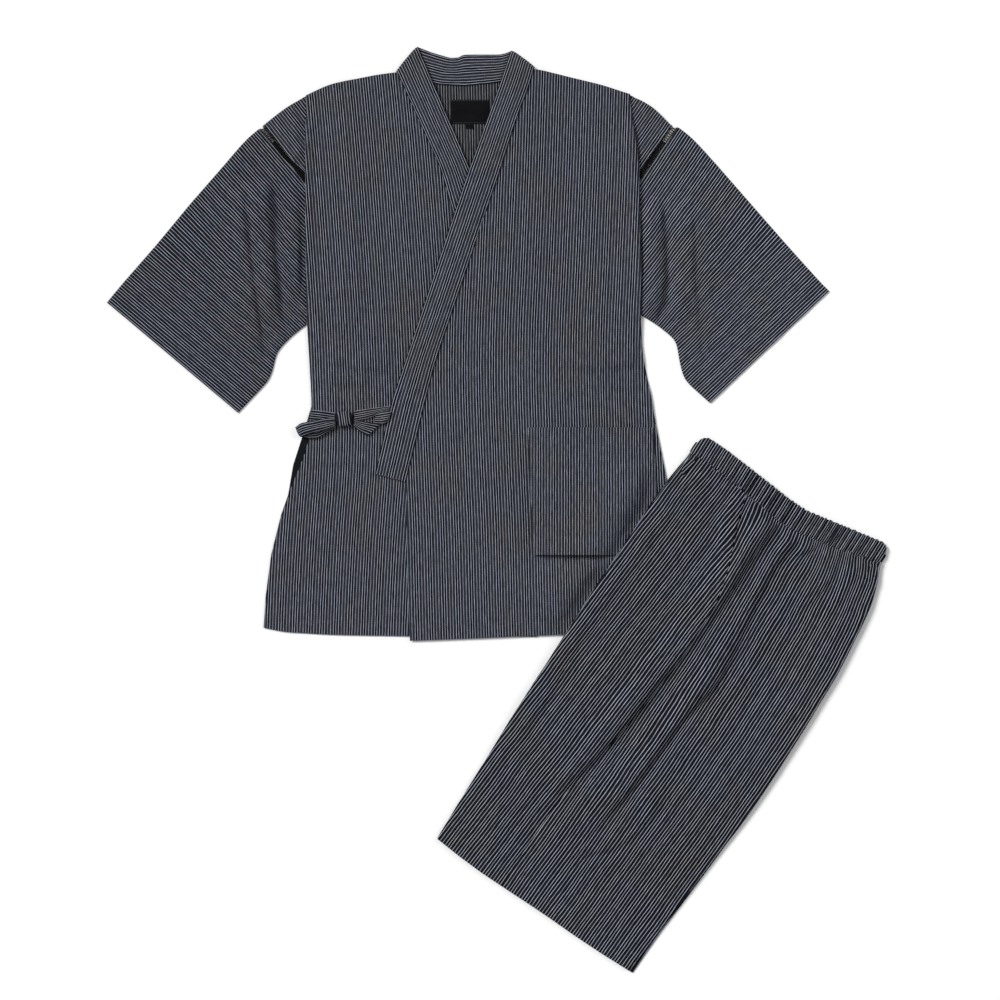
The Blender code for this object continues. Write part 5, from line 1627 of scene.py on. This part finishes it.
def seam_rows():
    """Every visible row of stitching: the piece it is on and its line in the plan."""
    pocket = [((l, h), (r, h2)) for l, h, r, h2 in POCKET_SIDES]
    left_side = [pair[0] for pair in pocket]
    right_side = [pair[1] for pair in pocket]
    label_x0, label_y0, label_x1, label_y1 = LABEL_BOX
    rows = [
        ("right_front_panel", inset_line(RIGHT_HEM, HEM, -1.0)),
        ("left_front_panel", inset_line(LEFT_HEM, HEM)),
        ("right_sleeve", inset_line(RIGHT_CUFF, WIDE_HEM, 1.0)),
        ("left_sleeve", inset_line(LEFT_CUFF, WIDE_HEM, -1.0)),
        ("patch_pocket", inset_line(left_side, POCKET_SEAM, 1.0)),
        ("patch_pocket", inset_line(right_side, POCKET_SEAM, -1.0)),
        ("patch_pocket", inset_line((left_side[-1], right_side[-1]), POCKET_SEAM, 1.0)),
        ("patch_pocket", inset_line((left_side[0], right_side[0]), WIDE_HEM, -1.0)),
        ("neck_label", inset_line(((label_x0, label_y0), (label_x1, label_y0)), LABEL_SEAM)),
        ("neck_label", inset_line(((label_x0, label_y1), (label_x1, label_y1)), LABEL_SEAM, -1.0)),
    ]
    for table in (COLLAR_RIGHT[-3:], COLLAR_LEFT):
        for share in COLLAR_SEAMS:
            line = [((1 - share) * a + share * c, (1 - share) * b + share * d) for a, b, c, d in table]
            rows.append(("collar_band", line))
    return [(name, jacket(line)) for name, line in rows]


def build_stitching():
    pieces = bpy.data.objects
    dressed = tree_through([piece.data for piece in pieces if piece.get("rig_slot")])
    trim = bpy.context.scene.jinbei_trim
    hem_u = np.linspace(*SHORTS_HEM, HEM_POINTS)
    front_hem = hem_u[hem_u < OUTSEAM_BREAK[0]]
    seat_hem = hem_u[hem_u > OUTSEAM_BREAK[1]]
    shorts_rows = [
        ("left_leg_front", shorts(leg_flat(front_hem, np.full(front_hem.shape, WIDE_HEM)))),
        ("left_leg_back", shorts(leg_flat(seat_hem, np.full(seat_hem.shape, WIDE_HEM)))),
    ]
    made = []
    for name, rows, slot in (
        ("jacket_stitching", seam_rows(), "jacket_cloth"), ("shorts_stitching", shorts_rows, "shorts_cloth"),
    ):
        form = bmesh.new()
        for piece, line in rows:
            stitch_run(form, tree_through([pieces[piece].data]), dressed, line, trim.stitch / MM)
        made.append(finished(link(name, mesh_of(form, name), once(sewing_thread)), [], slot))
    return made


# ---------------------------------------------------------------- stage
KEY_FROM = (-0.72, 0.50, 0.70)
SECOND_FROM = (0.80, 0.35, 0.62)


def add_lamp(name, lamp, towards):
    light = bpy.data.objects.new(name, lamp)
    light.rotation_euler = Vector(towards).to_track_quat("Z", "Y").to_euler()
    bpy.context.scene.collection.objects.link(light)


def build_stage():
    stage = bpy.context.scene.jinbei_stage
    form = bmesh.new()
    bmesh.ops.create_grid(form, x_segments=1, y_segments=1, size=0.5 * stage.floor_size)
    mesh = mesh_of(form, "floor")
    floor = bpy.data.objects.new("floor", mesh)
    bpy.context.scene.collection.objects.link(floor)
    f = Finish("floor_paper")
    f.set(Base_Color=(*stage.floor, 1.0), Roughness=0.9)
    mesh.materials.append(f.material)
    world = bpy.data.worlds.new("studio")
    world.use_nodes = True
    background = world.node_tree.nodes["Background"]
    background.inputs["Color"].default_value = (1.0, 1.0, 1.0, 1.0)
    background.inputs["Strength"].default_value = stage.fill
    bpy.context.scene.world = world
    lamp = bpy.data.lights.new("key", "SUN")
    lamp.energy = stage.key
    lamp.angle = stage.key_angle
    add_lamp("key", lamp, KEY_FROM)
    second = lamp.copy()
    second.energy = stage.second
    add_lamp("second_light", second, SECOND_FROM)
    view = bpy.context.scene.view_settings
    view.view_transform = "Standard"
    view.look = "None"
    lens = bpy.data.cameras.new("camera")
    lens.lens = stage.lens
    lens.sensor_width = 36.0
    lens.clip_end = 100.0
    camera = bpy.data.objects.new("camera", lens)
    camera.location = (SET_CENTRE[0] * MM, SET_CENTRE[1] * MM, stage.height)
    bpy.context.scene.collection.objects.link(camera)
    bpy.context.scene.camera = camera


# ---------------------------------------------------------------- operators
class JINBEI_OT_stage(bpy.types.Operator):
    """Add the floor, the lights and the camera"""
    bl_idname = "jinbei.stage"
    bl_label = "Stage"
    bl_options = {"REGISTER", "UNDO"}

    def execute(self, context):
        build_stage()
        return {"FINISHED"}


class JINBEI_OT_back(bpy.types.Operator):
    """Add the jacket's back"""
    bl_idname = "jinbei.back"
    bl_label = "Back"
    bl_options = {"REGISTER", "UNDO"}

    def execute(self, context):
        build_back()
        return {"FINISHED"}


class JINBEI_OT_laces(bpy.types.Operator):
    """Add the ladder lace at both armholes"""
    bl_idname = "jinbei.laces"
    bl_label = "Laces"
    bl_options = {"REGISTER", "UNDO"}

    def execute(self, context):
        build_lace("right_ladder_lace", "jacket_right_lace", RIGHT_BODY_ARMHOLE, RIGHT_SLEEVE_ARMHOLE)
        build_lace("left_ladder_lace", "jacket_left_lace", LEFT_BODY_ARMHOLE, LEFT_SLEEVE_ARMHOLE)
        return {"FINISHED"}


class JINBEI_OT_sleeves(bpy.types.Operator):
    """Add both sleeves, each a flat tube"""
    bl_idname = "jinbei.sleeves"
    bl_label = "Sleeves"
    bl_options = {"REGISTER", "UNDO"}

    def execute(self, context):
        build_sleeve(
            "right_sleeve", "jacket_right_sleeve", -1, RIGHT_CUFF, RIGHT_SLEEVE_FOLD, RIGHT_UNDERARM,
            RIGHT_SLEEVE_ARMHOLE, RIGHT_SLEEVE_BACK_END, RIGHT_SLEEVE_CREASES, RIGHT_SLEEVE_TURN,
        )
        build_sleeve(
            "left_sleeve", "jacket_left_sleeve", 1, LEFT_CUFF, LEFT_SLEEVE_FOLD, LEFT_UNDERARM,
            LEFT_SLEEVE_ARMHOLE, LEFT_SLEEVE_BACK_END, LEFT_SLEEVE_CREASES, LEFT_SLEEVE_TURN,
        )
        return {"FINISHED"}


class JINBEI_OT_label(bpy.types.Operator):
    """Add the bare neck label and its size tab"""
    bl_idname = "jinbei.label"
    bl_label = "Neck label"
    bl_options = {"REGISTER", "UNDO"}

    def execute(self, context):
        build_label()
        return {"FINISHED"}


class JINBEI_OT_fronts(bpy.types.Operator):
    """Add both fronts with their armhole pleats"""
    bl_idname = "jinbei.fronts"
    bl_label = "Fronts"
    bl_options = {"REGISTER", "UNDO"}

    def execute(self, context):
        build_front(
            "right_front_panel", "jacket_right_front", -1, RIGHT_FRONT_EDGE, RIGHT_FRONT_SIDE, RIGHT_HEM,
            RIGHT_SHOULDER, RIGHT_SHOULDER_END, RIGHT_BODY_ARMHOLE, RIGHT_FRONT_CREASES, RIGHT_FRONT_LEAN,
        )
        build_front(
            "left_front_panel", "jacket_left_front", 1, LEFT_FRONT_EDGE, LEFT_FRONT_SIDE, LEFT_HEM,
            LEFT_SHOULDER, LEFT_SHOULDER_END, LEFT_BODY_ARMHOLE, LEFT_FRONT_CREASES, LEFT_FRONT_LEAN,
        )
        return {"FINISHED"}


class JINBEI_OT_collar(bpy.types.Operator):
    """Add the collar band"""
    bl_idname = "jinbei.collar"
    bl_label = "Collar"
    bl_options = {"REGISTER", "UNDO"}

    def execute(self, context):
        build_collar()
        return {"FINISHED"}


class JINBEI_OT_pocket(bpy.types.Operator):
    """Add the patch pocket"""
    bl_idname = "jinbei.pocket"
    bl_label = "Pocket"
    bl_options = {"REGISTER", "UNDO"}

    def execute(self, context):
        build_pocket()
        return {"FINISHED"}


class JINBEI_OT_ties(bpy.types.Operator):
    """Add the straps and their bow"""
    bl_idname = "jinbei.ties"
    bl_label = "Ties"
    bl_options = {"REGISTER", "UNDO"}

    def execute(self, context):
        build_strap("side_strap", "tie_side_strap", SIDE_STRAP, 33.0, 1.0, 15.5)
        build_strap("front_strap", "tie_front_strap", FRONT_STRAP, 55.0, 2.0, 15.5)
        build_strap("bow_short_end", "tie_short_end", SHORT_END, 37.0, 3.0, 20.5)
        build_strap("bow_long_end", "tie_long_end", LONG_END, 22.0, 4.0, 15.5)
        build_loop()
        build_knot()
        return {"FINISHED"}


class JINBEI_OT_legs(bpy.types.Operator):
    """Add the shorts' four leg panels"""
    bl_idname = "jinbei.legs"
    bl_label = "Legs"
    bl_options = {"REGISTER", "UNDO"}

    def execute(self, context):
        for leg, upper in (("right", False), ("left", True)):
            for panel, front in (("front", True), ("back", False)):
                build_leg_panel(f"{leg}_leg_{panel}", f"shorts_{leg}_leg_{panel}", front, upper)
        return {"FINISHED"}


class JINBEI_OT_waistband(bpy.types.Operator):
    """Add the gathered elastic waist"""
    bl_idname = "jinbei.waistband"
    bl_label = "Waistband"
    bl_options = {"REGISTER", "UNDO"}

    def execute(self, context):
        build_waistband()
        return {"FINISHED"}


class JINBEI_OT_stitching(bpy.types.Operator):
    """Add the visible rows of stitching"""
    bl_idname = "jinbei.stitching"
    bl_label = "Stitching"
    bl_options = {"REGISTER", "UNDO"}

    def execute(self, context):
        build_stitching()
        return {"FINISHED"}


OPERATORS = (
    JINBEI_OT_stage, JINBEI_OT_back, JINBEI_OT_laces, JINBEI_OT_sleeves, JINBEI_OT_label, JINBEI_OT_fronts,
    JINBEI_OT_collar, JINBEI_OT_pocket, JINBEI_OT_ties, JINBEI_OT_legs, JINBEI_OT_waistband,
    JINBEI_OT_stitching,
)


class JINBEI_PT_panel(bpy.types.Panel):
    """Sizes, colours and pieces of the set"""
    bl_idname = "JINBEI_PT_panel"
    bl_label = "Jinbei Set"
    bl_space_type = "VIEW_3D"
    bl_region_type = "UI"
    bl_category = "Jinbei"

    def draw(self, context):
        for settings in (context.scene.jinbei_cloth, context.scene.jinbei_trim, context.scene.jinbei_stage):
            box = self.layout.box()
            for name in settings.bl_rna.properties.keys():
                if name not in ("rna_type", "name"):
                    box.prop(settings, name)
        for operator in OPERATORS:
            self.layout.operator(operator.bl_idname)


GROUPS = {"jinbei_cloth": JinbeiCloth, "jinbei_trim": JinbeiTrim, "jinbei_stage": JinbeiStage}
CLASSES = (*GROUPS.values(), *OPERATORS, JINBEI_PT_panel)


def register():
    for kind in CLASSES:
        bpy.utils.register_class(kind)
    for name, group in GROUPS.items():
        setattr(bpy.types.Scene, name, PointerProperty(type=group))


def unregister():
    for name in GROUPS:
        delattr(bpy.types.Scene, name)
    for kind in reversed(CLASSES):
        bpy.utils.unregister_class(kind)


def main():
    register()
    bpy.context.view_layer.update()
    for operator in OPERATORS:
        group, call = operator.bl_idname.split(".")
        getattr(getattr(bpy.ops, group), call)()
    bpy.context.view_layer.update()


if __name__ == "__main__":
    main()
